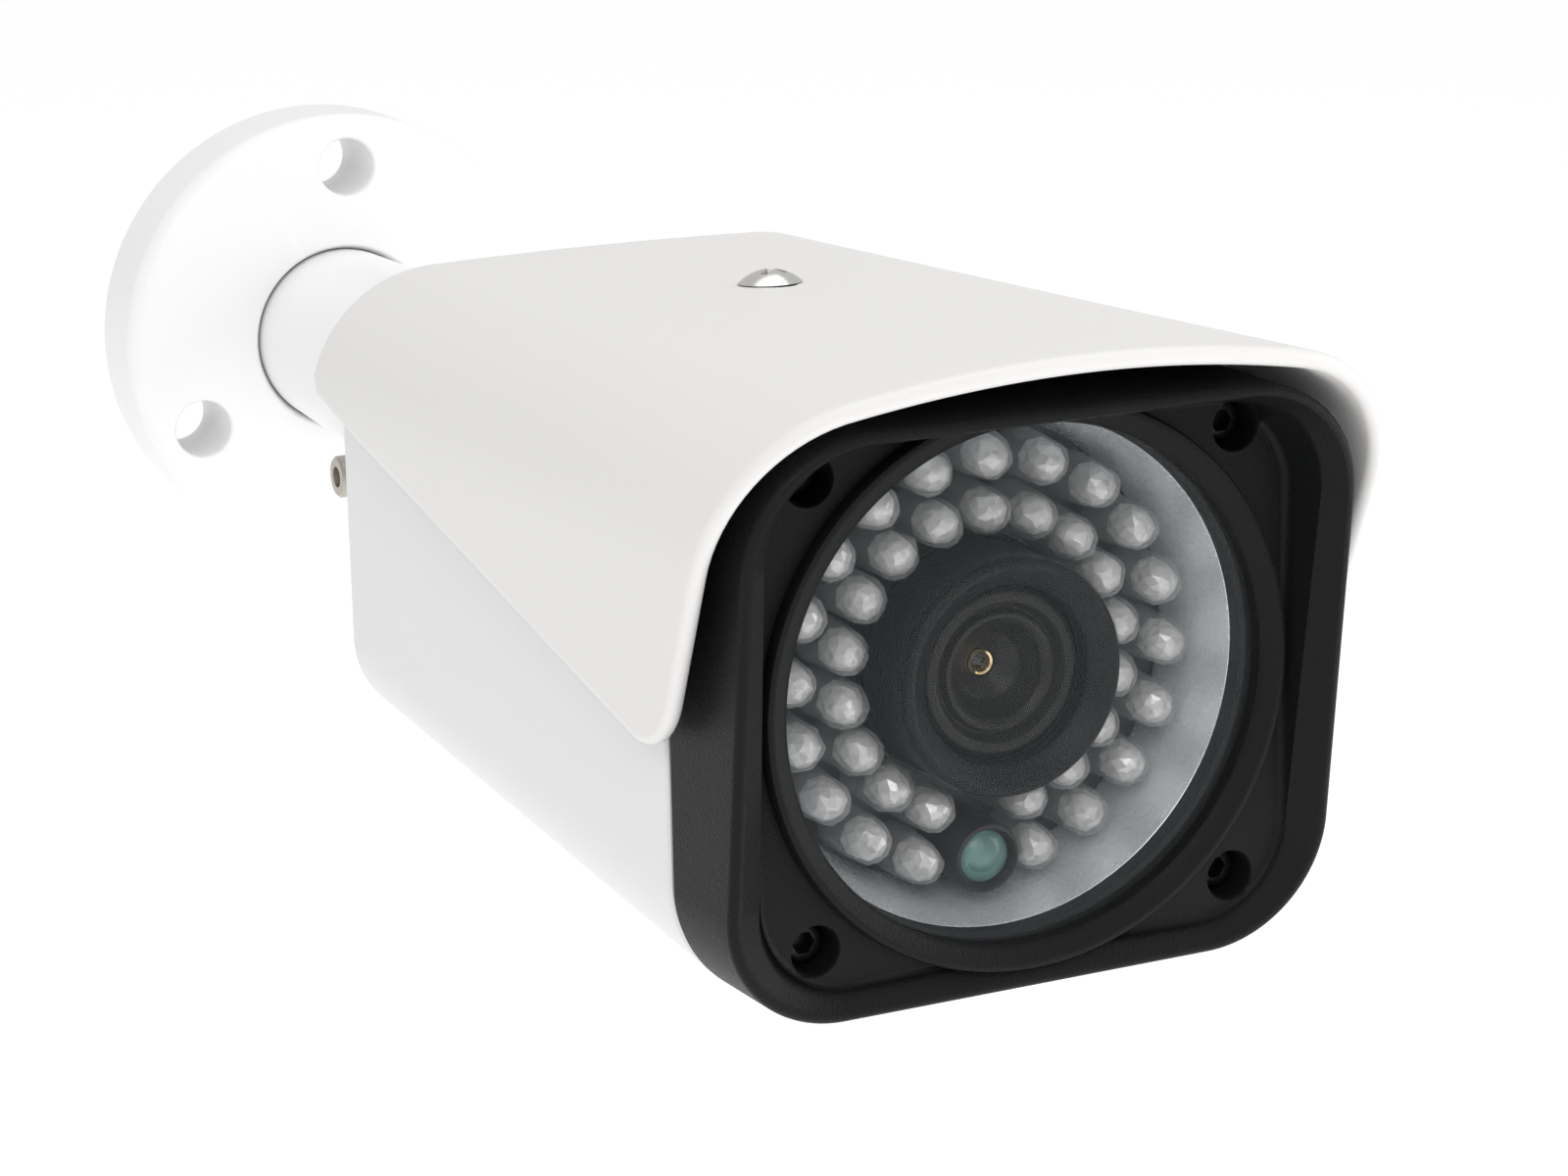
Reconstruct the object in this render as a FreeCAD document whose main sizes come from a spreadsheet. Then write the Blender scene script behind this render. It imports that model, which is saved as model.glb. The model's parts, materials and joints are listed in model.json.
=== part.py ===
"""A wall-mounted bullet security camera with infrared lights, as a parametric FreeCAD document.

Frame: millimetres, +Z up, origin at the centre of the wall plate's back face. The wall is the
plane y = 0 and the lens looks along -Y, so "out" below means a distance from the wall along -Y.
"""
import FreeCAD, Part
import math
import os
import re

import Sketcher
from FreeCAD import Placement, Rotation, Vector

DRIVING_SIZES = [        # a number stands by itself; a formula follows the pieces it fits
    # wall plate
    ("plate_radius", 30.2), ("plate_thick", 12.5), ("plate_edge_round", 2.5),
    ("mount_hole_radius", 3.8), ("mount_circle_radius", 23.2), ("mount_turn", 3.0),
    ("web_back", 3.5), ("web_thick", 2.5), ("rear_recess_radius", 17.5),
    ("gap_groove_width", 0.8), ("gap_groove_depth", 1.5),
    ("running_gap", 0.05), ("loose_gap", 0.3),
    # bracket arm
    ("arm_radius", 11.9), ("arm_front_radius", 12.8), ("arm_front", 50.5), ("arm_lead", 1.2),
    ("spigot_radius", 9.6), ("core_radius", 7.2), ("core_depth", 30.0),
    ("clip_thick", 1.0), ("clip_width", 3.2), ("clip_seat", 1.6), ("clip_bite", 0.9),
    ("set_screw_radius", 2.0), ("set_screw_length", 13.0),
    ("set_screw_out", 9.3), ("hex_depth", 1.6),
    # ball joint
    ("ball_radius", 7.5), ("ball_out", 44.0), ("lip_angle", 20.0), ("mouth_flare", 2.5),
    ("neck_radius", 4.2), ("split_width", 2.2), ("split_length", 14.0),
    ("clamp_drop", 11.5), ("clamp_radius", 2.0), ("ear_radius", 3.6), ("ear_reach", 10.0),
    ("clamp_head_radius", 2.7), ("clamp_head_height", 3.0), ("clamp_nut_radius", 3.6),
    ("clamp_nut_height", 3.0),
    # stud, lock nut and tail
    ("stud_radius", 5.0), ("stud_end", 88.0), ("collar_radius", 6.4), ("collar_thick", 2.0),
    ("lock_nut_radius", 9.0), ("lock_nut_thick", 5.0), ("tail_back", 64.5), ("tail_back_radius", 11.0),
    ("tail_front_radius", 18.0), ("tail_front", "housing_back - 2.8"), ("tail_wall", 3.5),
    # housing
    ("housing_back", 101.8), ("housing_front", 193.0),
    ("back_half_width", 31.8), ("back_top", 23.6), ("back_low", 26.0), ("back_corner", 10.0),
    ("front_half_width", 32.8), ("front_top", 27.9), ("front_low", 30.3), ("front_corner", 13.0),
    ("housing_wall", 2.2), ("cap_inset", 0.6), ("cap_thick", 4.0), ("cap_gasket_thick", 0.8),
    ("cap_screw_x", 22.5), ("cap_screw_z", 14.0), ("cap_boss_radius", 4.6), ("cap_boss_length", 12.0),
    ("cap_screw_radius", 1.5), ("gland_x", 23.1), ("gland_radius", 3.0), ("gland_bore", 1.9),
    ("face_boss_radius", 3.8), ("face_boss_length", 16.0), ("rest_width", 10.0), ("rest_length", 6.0),
    ("rest_reach", 23.2), ("pilot_depth", 9.0),
    # front bezel
    ("face_gasket_thick", 0.8), ("face_out", "housing_front + 10.0"), ("rim_out", "face_out + 4.6"), ("rim_slant", 0.12),
    ("rim_half_width", "front_half_width - 0.9"), ("rim_top", "front_top + 0.2"), ("rim_low", "front_low - 1.0"), ("rim_corner", "front_corner - 1.0"),
    ("rim_stock_out", "rim_out + 6.4"), ("recess_half_width", "rim_half_width - 3.6"), ("recess_top", "rim_top - 2.8"), ("recess_low", "rim_low - 2.8"),
    ("recess_corner", "rim_corner - 2.5"), ("recess_draft", 0.2), ("face_screw_pitch", 45.0),
    ("face_hole_radius", 2.35), ("face_hole_depth", 5.0), ("face_screw_radius", 1.4),
    ("face_head_radius", 1.95), ("face_head_height", 2.4), ("face_screw_length", 13.0),
    ("window_radius", 25.3), ("ridge_radius", "window_radius + 2.0"), ("ridge_height", 1.9), ("ridge_foot", "window_radius + 2.6"), ("ridge_dish", 0.9),
    ("glass_radius", "window_radius + 1.0"), ("glass_thick", 1.2), ("glass_front", "face_out - 1.0"), ("seat_gap", 0.12),
    ("seal_thick", 2.5), ("seal_width", 1.2), ("reflector_thick", 1.1),
    # infrared board
    ("led_board_radius", 25.0), ("led_board_thick", 1.6), ("led_board_front", "face_out - 15.0"),
    ("outer_ring_radius", 20.25), ("inner_ring_radius", 14.95), ("led_radius", 2.4),
    ("led_flange_radius", "led_radius + 0.15"), ("led_flange_thick", 1.0), ("led_height", 8.6),
    ("eye_ring_radius", 19.0), ("ring_turn", 2.0), ("eye_collar_radius", 3.55), ("eye_collar_height", 8.4),
    ("eye_radius", 2.6), ("eye_dome", 1.1),
    # lens
    ("shroud_radius", 11.9), ("shroud_bore", 8.75), ("shroud_front", "glass_front - 1.4"), ("shroud_round", 1.6), ("shroud_slope", 1.4),
    ("barrel_radius", 8.3), ("barrel_front", "shroud_front - 2.6"), ("barrel_neck_radius", 5.95),
    ("dish_radius", 4.7), ("dish_depth", 3.3), ("pupil_radius", 0.85), ("pupil_rim", 1.35),
    ("barrel_step", "led_board_front - 1.5"), ("barrel_back", "led_board_front - 10.5"), ("board_hole_radius", 9.6),
    ("holder_radius", 8.2), ("holder_front", "led_board_front - 2.5"), ("holder_base", 18.0), ("holder_base_thick", 2.4),
    # day and night filter, sensor and boards
    ("filter_frame_width", 33.0), ("filter_frame_tall", 19.0), ("filter_frame_thick", 5.0),
    ("filter_travel", 7.0), ("slider_width", 15.0), ("slider_tall", 9.0), ("slider_thick", 1.0),
    ("filter_window", 6.0), ("filter_glass_thick", 0.6), ("light_path_radius", 3.4),
    ("sensor_board_front", "led_board_front - 17.0"), ("board_thick", 1.6), ("sensor_board_width", 38.0),
    ("sensor_board_tall", 38.0), ("sensor_width", 8.0), ("sensor_tall", 6.4), ("sensor_thick", 1.0),
    ("main_board_front", "sensor_board_front - 14.0"), ("main_board_width", 42.0), ("main_board_tall", 40.0),
    ("pillar_pitch", 32.0), ("pillar_radius", 2.2), ("board_screw_radius", 1.2),
    ("pillar_stud", 4.0), ("board_screw_head_radius", 2.0), ("board_screw_head_height", 1.3), ("chip_width", 14.0),
    ("chip_thick", 1.4), ("socket_width", 12.0), ("socket_tall", 5.0), ("socket_thick", 6.0),
    # sunshield
    ("shield_wall", 1.8), ("shield_back", "housing_back - 0.8"), ("shield_front", "housing_front + 7.3"), ("shield_lean", 0.44),
    ("shield_back_half", "back_half_width + 3.6"), ("shield_back_top", "back_top + 2.7"), ("shield_end", "housing_front + 21.0"),
    ("shield_end_half", "front_half_width + 3.5"), ("shield_end_top", "front_top + 5.9"), ("shield_corner", 15.5),
    ("shield_stock_out", "shield_end + 8.0"), ("shield_low_back", 12.9), ("shield_fall", 0.1706),
    ("shield_tip_round", 8.6), ("shield_skirt", 30.0), ("shield_screw_out", 150.0),
    ("shield_screw_radius", 1.9), ("shield_head_radius", 3.4), ("shield_head_height", 1.7),
    ("shield_pad_radius", 5.0), ("shield_slot_width", 0.75),
    ("insert_radius", 3.0), ("insert_length", 6.0), ("insert_boss_wall", 1.6), ("insert_floor", 1.2), ("shield_screw_length", 7.5),
]
OUTER_LEDS, INNER_LEDS = 20, 18      # places on each ring; the lowest place holds the light sensor
BEYOND = 60                          # longer than any cut needs to be
OUTWARD = Rotation(Vector(1, 0, 0), 90)          # turns a primitive's +Z axis to -Y, away from the wall

doc = FreeCAD.newDocument("SecurityCamera")
sheet = doc.addObject("Spreadsheet::Sheet", "Sizes")
for row, (alias, _) in enumerate(DRIVING_SIZES, 1):
    sheet.set(f"A{row}", alias)
    sheet.setAlias(f"B{row}", alias)
for row, (_, size) in enumerate(DRIVING_SIZES, 1):          # a size may be a formula in others, so all have names first
    sheet.set(f"B{row}", f"={size}")
doc.recompute()
ALIASES = {alias for alias, _ in DRIVING_SIZES}
pieces = []


# ---------------------------------------------------------------- helpers

def bound(formula):
    """A formula in the sheet's aliases, written the way an expression names them."""
    return re.sub(r"[a-z_]+", lambda word: f"Sizes.{word[0]}" if word[0] in ALIASES else word[0], str(formula))


def value(formula):
    return float(sheet.evalExpression(bound(formula)))


def bind(thing, **formulas):
    for name, formula in formulas.items():
        thing.setExpression(name, bound(formula))


def keep(thing, label):
    """Names a sub-part: its label is its file's name."""
    thing.Label = label
    pieces.append(thing)
    return thing


def put(thing, x=0, out=0, z=0, rotation=OUTWARD):
    thing.Placement = Placement(Vector(0, 0, 0), rotation)
    for axis, formula in (("x", x), ("y", f"-({out})"), ("z", z)):
        thing.setExpression(f"Placement.Base.{axis}", bound(formula))
    return thing


def rod(radius, length, **place):
    """A cylinder that starts at "out" and runs away from the wall."""
    thing = doc.addObject("Part::Cylinder", "Rod")
    bind(thing, Radius=radius, Height=length)
    return put(thing, **place)


def taper(back_radius, front_radius, length, **place):
    thing = doc.addObject("Part::Cone", "Taper")
    bind(thing, Radius1=back_radius, Radius2=front_radius, Height=length)
    return put(thing, **place)


def ball(radius, **place):
    thing = doc.addObject("Part::Sphere", "Ball")
    bind(thing, Radius=radius)
    return put(thing, **place)


def block(width, depth, height, x=0, out=0, z=0):
    """A box centred on x and z, from "out" to "out" + depth."""
    thing = doc.addObject("Part::Box", "Block")
    bind(thing, Length=width, Width=depth, Height=height)
    return put(thing, f"({x}) - ({width}) / 2", f"({out}) + ({depth})", f"({z}) - ({height}) / 2", Rotation())


def prism(sides, radius, length, **place):
    thing = doc.addObject("Part::Prism", "Prism")
    thing.Polygon = sides
    bind(thing, Circumradius=radius, Height=length)
    return put(thing, **place)


def cross_rod(radius, start, length, out, z):
    """A cylinder along +X, from x = start."""
    thing = doc.addObject("Part::Cylinder", "CrossRod")
    bind(thing, Radius=radius, Height=length)
    return put(thing, start, out, z, Rotation(Vector(0, 1, 0), 90))


def fuse(*things):
    joined = doc.addObject("Part::MultiFuse", "Joined")
    joined.Shapes = list(things)
    return joined


def cut(base, *tools):
    result = doc.addObject("Part::Cut", "Cut")
    result.Base = base
    result.Tool = tools[0] if len(tools) == 1 else fuse(*tools)
    return result


def gather(*things):
    """Separate solids that share one node."""
    group = doc.addObject("Part::Compound", "Group")
    group.Links = list(things)
    return group


def new_body(label):
    return keep(doc.addObject("PartDesign::Body", "Body"), label)


def sketch_on(body, role, out=0):
    """A sketch on the body's own XZ plane at "out", seen from the front, or on its YZ plane,
    where it shows (out, z) seen from the camera's right."""
    sketch = body.newObject("Sketcher::SketchObject", "Sketch")
    sketch.AttachmentSupport = [(next(f for f in body.Origin.OriginFeatures if f.Role == role), "")]
    sketch.MapMode = "FlatFace"
    if role == "YZ_Plane":
        sketch.AttachmentOffset = Placement(Vector(0, 0, 0), Rotation(Vector(0, 1, 0), 180))
    else:
        sketch.setExpression("AttachmentOffset.Base.z", bound(out))
    return sketch


def fix_point(sketch, geometry, position, x, y):
    """Ties a point's coordinates to two formulas."""
    for kind, formula, axis in (("DistanceX", x, -2), ("DistanceY", y, -1)):
        size = value(formula)
        if abs(size) < 1e-9:
            sketch.addConstraint(Sketcher.Constraint("PointOnObject", geometry, position, axis))
        else:
            index = sketch.addConstraint(Sketcher.Constraint(kind, -1, 1, geometry, position, size))
            sketch.setExpression(f"Constraints[{index}]", bound(formula))


def polygon(sketch, corners):
    spots = [Vector(value(x), value(y), 0) for x, y in corners]
    first = sketch.GeometryCount
    count = len(corners)
    for i, spot in enumerate(spots):
        sketch.addGeometry(Part.LineSegment(spot, spots[(i + 1) % count]), False)
    for i in range(count):
        sketch.addConstraint(Sketcher.Constraint("Coincident", first + i, 2, first + (i + 1) % count, 1))
    for i, (x, y) in enumerate(corners):
        fix_point(sketch, first + i, 1, x, y)


def circle(sketch, x, y, radius):
    index = sketch.addGeometry(Part.Circle(Vector(value(x), value(y), 0), Vector(0, 0, 1), value(radius)), False)
    constraint = sketch.addConstraint(Sketcher.Constraint("Radius", index, value(radius)))
    sketch.setExpression(f"Constraints[{constraint}]", bound(radius))
    fix_point(sketch, index, 3, x, y)


def rounded_box(sketch, half_width, low, top, corner):
    """Four corner arcs, each tied by its centre and radius, with tangent sides between them."""
    reach, bottom, height, radius = (value(v) for v in (half_width, low, top, corner))
    places = [(1, 1, 0), (-1, 1, 90), (-1, -1, 180), (1, -1, 270)]
    arcs = []
    for side, up, start in places:
        middle = Vector(side * (reach - radius), height - radius if up > 0 else bottom + radius, 0)
        whole = Part.Circle(middle, Vector(0, 0, 1), radius)
        arcs.append(Part.ArcOfCircle(whole, math.radians(start), math.radians(start + 90)))
    first = sketch.GeometryCount
    for arc in arcs:
        sketch.addGeometry(arc, False)
    for i, arc in enumerate(arcs):
        sketch.addGeometry(Part.LineSegment(arc.EndPoint, arcs[(i + 1) % 4].StartPoint), False)
    for i in range(4):
        line = first + 4 + i
        sketch.addConstraint(Sketcher.Constraint("Tangent", first + i, 2, line, 1))
        sketch.addConstraint(Sketcher.Constraint("Tangent", line, 2, first + (i + 1) % 4, 1))
    for i, (side, up, start) in enumerate(places):
        constraint = sketch.addConstraint(Sketcher.Constraint("Radius", first + i, radius))
        sketch.setExpression(f"Constraints[{constraint}]", bound(corner))
        height_formula = f"({top}) - ({corner})" if up > 0 else f"({low}) + ({corner})"
        fix_point(sketch, first + i, 3, f"{side} * (({half_width}) - ({corner}))", height_formula)


def revolve(body, profile, groove=False):
    """Turns a closed (out, radius) profile about the body's -Y axis."""
    sketch = sketch_on(body, "YZ_Plane")
    polygon(sketch, profile)
    turned = body.newObject("PartDesign::Groove" if groove else "PartDesign::Revolution", "Turned")
    turned.Profile = sketch
    turned.ReferenceAxis = (sketch, ["H_Axis"])
    turned.Angle = 360
    return turned


def turned_body(label, profile):
    body = new_body(label)
    revolve(body, profile)
    return body


def pad(body, sketch, length):
    feature = body.newObject("PartDesign::Pad", "Pad")
    feature.Profile = sketch
    bind(feature, Length=length)
    return feature


def pocket(body, sketch, length, outward=False):
    """Cuts from the sketch towards the wall, or away from it, and makes sure that it cut something."""
    doc.recompute()
    before = body.Shape.Volume
    feature = body.newObject("PartDesign::Pocket", "Pocket")
    feature.Profile = sketch
    feature.Reversed = outward
    bind(feature, Length=length)
    doc.recompute()
    if not body.Shape.Volume < before - 1e-3:
        raise RuntimeError(f"a pocket in {body.Label} cut nothing")
    return feature


def loft(body, sections, subtract=False):
    feature = body.newObject("PartDesign::SubtractiveLoft" if subtract else "PartDesign::AdditiveLoft", "Loft")
    feature.Profile = sections[0]
    feature.Sections = list(sections[1:])
    feature.Ruled = True
    return feature


def side_pocket(body, corners):
    """Cuts a closed (out, z) outline right through the body, along X."""
    sketch = sketch_on(body, "YZ_Plane")
    polygon(sketch, corners)
    return through_sides(body, sketch)


def through_sides(body, sketch):
    doc.recompute()
    before = body.Shape.Volume
    feature = body.newObject("PartDesign::Pocket", "SideCut")
    feature.Profile = sketch
    feature.SideType = "Symmetric"
    feature.Length = 4 * BEYOND
    doc.recompute()
    if not body.Shape.Volume < before - 1e-3:
        raise RuntimeError(f"a side cut in {body.Label} cut nothing")
    return feature


def along(back, front, out):
    """A size of the tapered housing at "out", in a straight line between its two ends."""
    share = f"(({out}) - housing_back) / (housing_front - housing_back)"
    return f"({back} + ({front} - {back}) * {share})"


def along_shield(back, end, out):
    """A size of the tapered hood at "out", in a straight line between its two stated sections."""
    return f"({back} + ({end} - {back}) * (({out}) - shield_back) / (shield_end - shield_back))"


HOOD_SLOPE = math.atan(value("(shield_end_top - shield_back_top) / (shield_end - shield_back)"))
ROOF_SLOPE = math.atan(value("(front_top - back_top) / (housing_front - housing_back)"))
HOOD_CREST = along_shield("shield_back_top", "shield_end_top", "shield_screw_out")
ROOF = along("back_top", "front_top", "shield_screw_out")
HOOD_TO_ROOF = f"-({HOOD_CREST} - {ROOF})"       # from the hood's crest to the housing's roof, on the screw's axis
SQUARE_TO_HOOD = Rotation(Vector(1, 0, 0), -math.degrees(HOOD_SLOPE))


def on_hood_axis(kind, lift, **sizes):
    """A primitive square to the hood's top, "lift" above its crest on the axis of the hood's screw."""
    thing = doc.addObject(kind, "OnHoodAxis")
    bind(thing, **sizes)
    return put(thing, 0, f"shield_screw_out - ({lift}) * {math.sin(HOOD_SLOPE):.6f}",
               f"{HOOD_CREST} + ({lift}) * {math.cos(HOOD_SLOPE):.6f}", SQUARE_TO_HOOD)


def shell_section(body, out, grow=0):
    """The housing's rounded-box section at "out", grown by "grow" all round."""
    sketch = sketch_on(body, "XZ_Plane", out)
    rounded_box(
        sketch,
        f"{along('back_half_width', 'front_half_width', out)} + ({grow})",
        f"-{along('back_low', 'front_low', out)} - ({grow})",
        f"{along('back_top', 'front_top', out)} + ({grow})",
        f"{along('back_corner', 'front_corner', out)} + ({grow})",
    )
    return sketch


def corners_of(pitch_x, pitch_z):
    """The four places at plus and minus half of each pitch."""
    return [(f"{i} * ({pitch_x}) / 2", f"{k} * ({pitch_z}) / 2") for i in (-1, 1) for k in (-1, 1)]


def socket_screw(x, z, seat, shank, length, head, height):
    """A socket-head screw that points at the wall, its head standing out from "seat"."""
    key = "0.55"
    return cut(
        fuse(rod(shank, f"({length}) + 0.01", x=x, out=f"({seat}) - ({length})", z=z),
             rod(head, height, x=x, out=seat, z=z)),
        prism(6, f"({head}) * {key}", height, x=x, out=f"({seat}) + ({height}) * {key}", z=z),
    )


def rear_screw(x, z, seat, shank, length, head, height):
    """A screw that points away from the wall, its head on the wall side of "seat"."""
    key = "0.5"
    return cut(
        fuse(rod(shank, f"({length}) + 0.01", x=x, out=f"({seat}) - 0.01", z=z),
             rod(head, height, x=x, out=f"({seat}) - ({height})", z=z)),
        prism(6, f"({head}) * {key}", f"({height}) * {key}", x=x, out=f"({seat}) - ({height})", z=z),
    )


# ---------------------------------------------------------------- wall plate and bracket

def wall_plate():
    """A round plate: the arm's boss turns in its front bore, and a clip holds it from the back."""
    body = new_body("wall_plate")
    bore = "arm_radius + running_gap"
    rear_bore = "spigot_radius + running_gap"
    groove = f"{bore} + gap_groove_width"
    revolve(body, [
        ("0", "rear_recess_radius"), ("0", "plate_radius"),
        ("plate_thick - plate_edge_round", "plate_radius"),
        ("plate_thick - plate_edge_round * 0.3", "plate_radius - plate_edge_round * 0.3"),
        ("plate_thick", "plate_radius - plate_edge_round"),
        ("plate_thick", groove), ("plate_thick - gap_groove_depth", bore),
        ("web_back + web_thick", bore), ("web_back + web_thick", rear_bore),
        ("web_back", rear_bore), ("web_back", "rear_recess_radius"),
    ])
    holes = sketch_on(body, "XZ_Plane", "plate_thick")
    for place in (90, 210, 330):
        turn = f"({place} - mount_turn) * 1 deg"
        circle(holes, f"mount_circle_radius * cos({turn})", f"mount_circle_radius * sin({turn})",
               "mount_hole_radius")
    pocket(body, holes, "plate_thick + 1")
    screw_hole = doc.addObject("Part::Cylinder", "SetScrewHole")
    bind(screw_hole, Radius="set_screw_radius + running_gap", Height="plate_radius")
    put(screw_hole, 0, "set_screw_out", "-plate_radius - 1", Rotation())
    pieces.remove(body)
    body.Label = "wall_plate_blank"
    keep(cut(body, screw_hole), "wall_plate")


def swivel_lock():
    """The set screw under the plate's rim that locks the swivel, and the clip with its washer."""
    screw = doc.addObject("Part::Cylinder", "SetScrew")
    top = "-(arm_radius + running_gap)"
    bind(screw, Radius="set_screw_radius", Height="set_screw_length")
    put(screw, 0, "set_screw_out", f"{top} - set_screw_length", Rotation())
    key = doc.addObject("Part::Prism", "Key")
    key.Polygon = 6
    bind(key, Circumradius="set_screw_radius * 0.6", Height="hex_depth")
    put(key, 0, "set_screw_out", f"{top} - set_screw_length", Rotation())
    keep(cut(screw, key), "swivel_set_screw")
    clip_seat = "clip_seat + running_gap"
    keep(cut(rod("spigot_radius + clip_width", "clip_thick", out=clip_seat),
             rod("spigot_radius - clip_bite + running_gap", "clip_thick", out=clip_seat),
             block("spigot_radius * 0.7", "clip_thick", "2 * spigot_radius", out=clip_seat,
                   z="-(spigot_radius + clip_width)")),
         "swivel_clip")
    washer_back = "clip_seat + clip_thick + 2 * running_gap"
    washer = "web_back - clip_seat - clip_thick - 3 * running_gap"
    keep(cut(rod("spigot_radius + clip_width", washer, out=washer_back),
             rod("spigot_radius + running_gap", washer, out=washer_back)),
         "swivel_washer")


def bracket_arm():
    """The boss that turns in the plate, running out to a split socket that holds the ball."""
    body = new_body("bracket_arm")
    socket_radius = "ball_radius + running_gap"
    lip_out = f"ball_out + ({socket_radius}) * sin(lip_angle * 1 deg)"
    lip_radius = f"({socket_radius}) * cos(lip_angle * 1 deg)"
    seat = "web_back + web_thick + running_gap"
    revolve(body, [
        ("clip_seat - clip_thick", "core_radius"), ("clip_seat - clip_thick", "spigot_radius"),
        ("clip_seat", "spigot_radius"), ("clip_seat", "spigot_radius - clip_bite"),
        ("clip_seat + clip_thick + 2 * running_gap", "spigot_radius - clip_bite"),
        ("clip_seat + clip_thick + 2 * running_gap", "spigot_radius"),
        (seat, "spigot_radius"), (seat, "arm_radius"), ("plate_thick", "arm_radius"),
        ("arm_front - arm_lead", "arm_front_radius"), ("arm_front", "arm_front_radius - arm_lead"),
        ("arm_front", "0"), ("core_depth", "0"), ("core_depth", "core_radius"),
    ])
    doc.recompute()
    pieces.remove(body)
    body.Label = "bracket_arm_blank"
    ears = cross_rod("ear_radius", "-ear_reach", "2 * ear_reach", "ball_out", "-clamp_drop")
    mouth = taper(lip_radius, f"{lip_radius} + mouth_flare", f"arm_front - ({lip_out})", out=lip_out)
    split = block("split_width", "split_length", "arm_front_radius + ear_radius", out="arm_front - split_length",
                  z="-(arm_front_radius + ear_radius) / 2 - ball_radius * 0.7")
    bolt_hole = cross_rod("clamp_radius + running_gap", "-2 * ear_reach", "4 * ear_reach", "ball_out",
                          "-clamp_drop")
    keep(cut(fuse(body, ears), ball(socket_radius, out="ball_out"), mouth, split, bolt_hole), "bracket_arm")


def clamp_screw():
    """The screw and nut under the socket that squeeze it on the ball."""
    length = "2 * ear_reach + clamp_nut_height"
    start = "-ear_reach"
    head = cross_rod("clamp_head_radius", f"{start} - clamp_head_height", "clamp_head_height", "ball_out",
                     "-clamp_drop")
    shank = cross_rod("clamp_radius", f"{start} - 0.01", f"{length} + 0.01", "ball_out", "-clamp_drop")
    key = doc.addObject("Part::Prism", "Key")
    key.Polygon = 6
    bind(key, Circumradius="clamp_head_radius * 0.5", Height="hex_depth")
    put(key, f"{start} - clamp_head_height", "ball_out", "-clamp_drop", Rotation(Vector(0, 1, 0), 90))
    keep(cut(fuse(head, shank), key), "clamp_screw")
    nut = doc.addObject("Part::Prism", "Nut")
    nut.Polygon = 6
    bind(nut, Circumradius="clamp_nut_radius", Height="clamp_nut_height - running_gap")
    put(nut, "ear_reach + running_gap", "ball_out", "-clamp_drop", Rotation(Vector(0, 1, 0), 90))
    keep(cut(nut, cross_rod("clamp_radius + running_gap", "ear_reach", "clamp_nut_height + 1", "ball_out",
                            "-clamp_drop")), "clamp_nut")


def ball_stud():
    """The ball, its neck and the stud that the camera's tail turns on."""
    collar_out = "tail_back - lock_nut_thick - loose_gap - collar_thick"
    keep(fuse(
        ball("ball_radius", out="ball_out"),
        rod("neck_radius", f"{collar_out} - ball_out + 0.01", out="ball_out"),
        rod("collar_radius", "collar_thick", out=collar_out),
        rod("stud_radius", f"stud_end - ({collar_out})", out=collar_out),
    ), "ball_stud")


def lock_nut():
    """A round nut with grip notches that locks the camera's roll on the stud."""
    out = "tail_back - lock_nut_thick - running_gap"
    notches = []
    for step in range(8):
        angle = f"{45 * step} deg"
        notches.append(rod("1.1", "lock_nut_thick", x=f"lock_nut_radius * cos({angle})", out=out,
                           z=f"lock_nut_radius * sin({angle})"))
    keep(cut(rod("lock_nut_radius", "lock_nut_thick", out=out),
             rod("stud_radius + running_gap", "lock_nut_thick", out=out), *notches), "neck_lock_nut")


# ---------------------------------------------------------------- rear cap and housing

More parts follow.
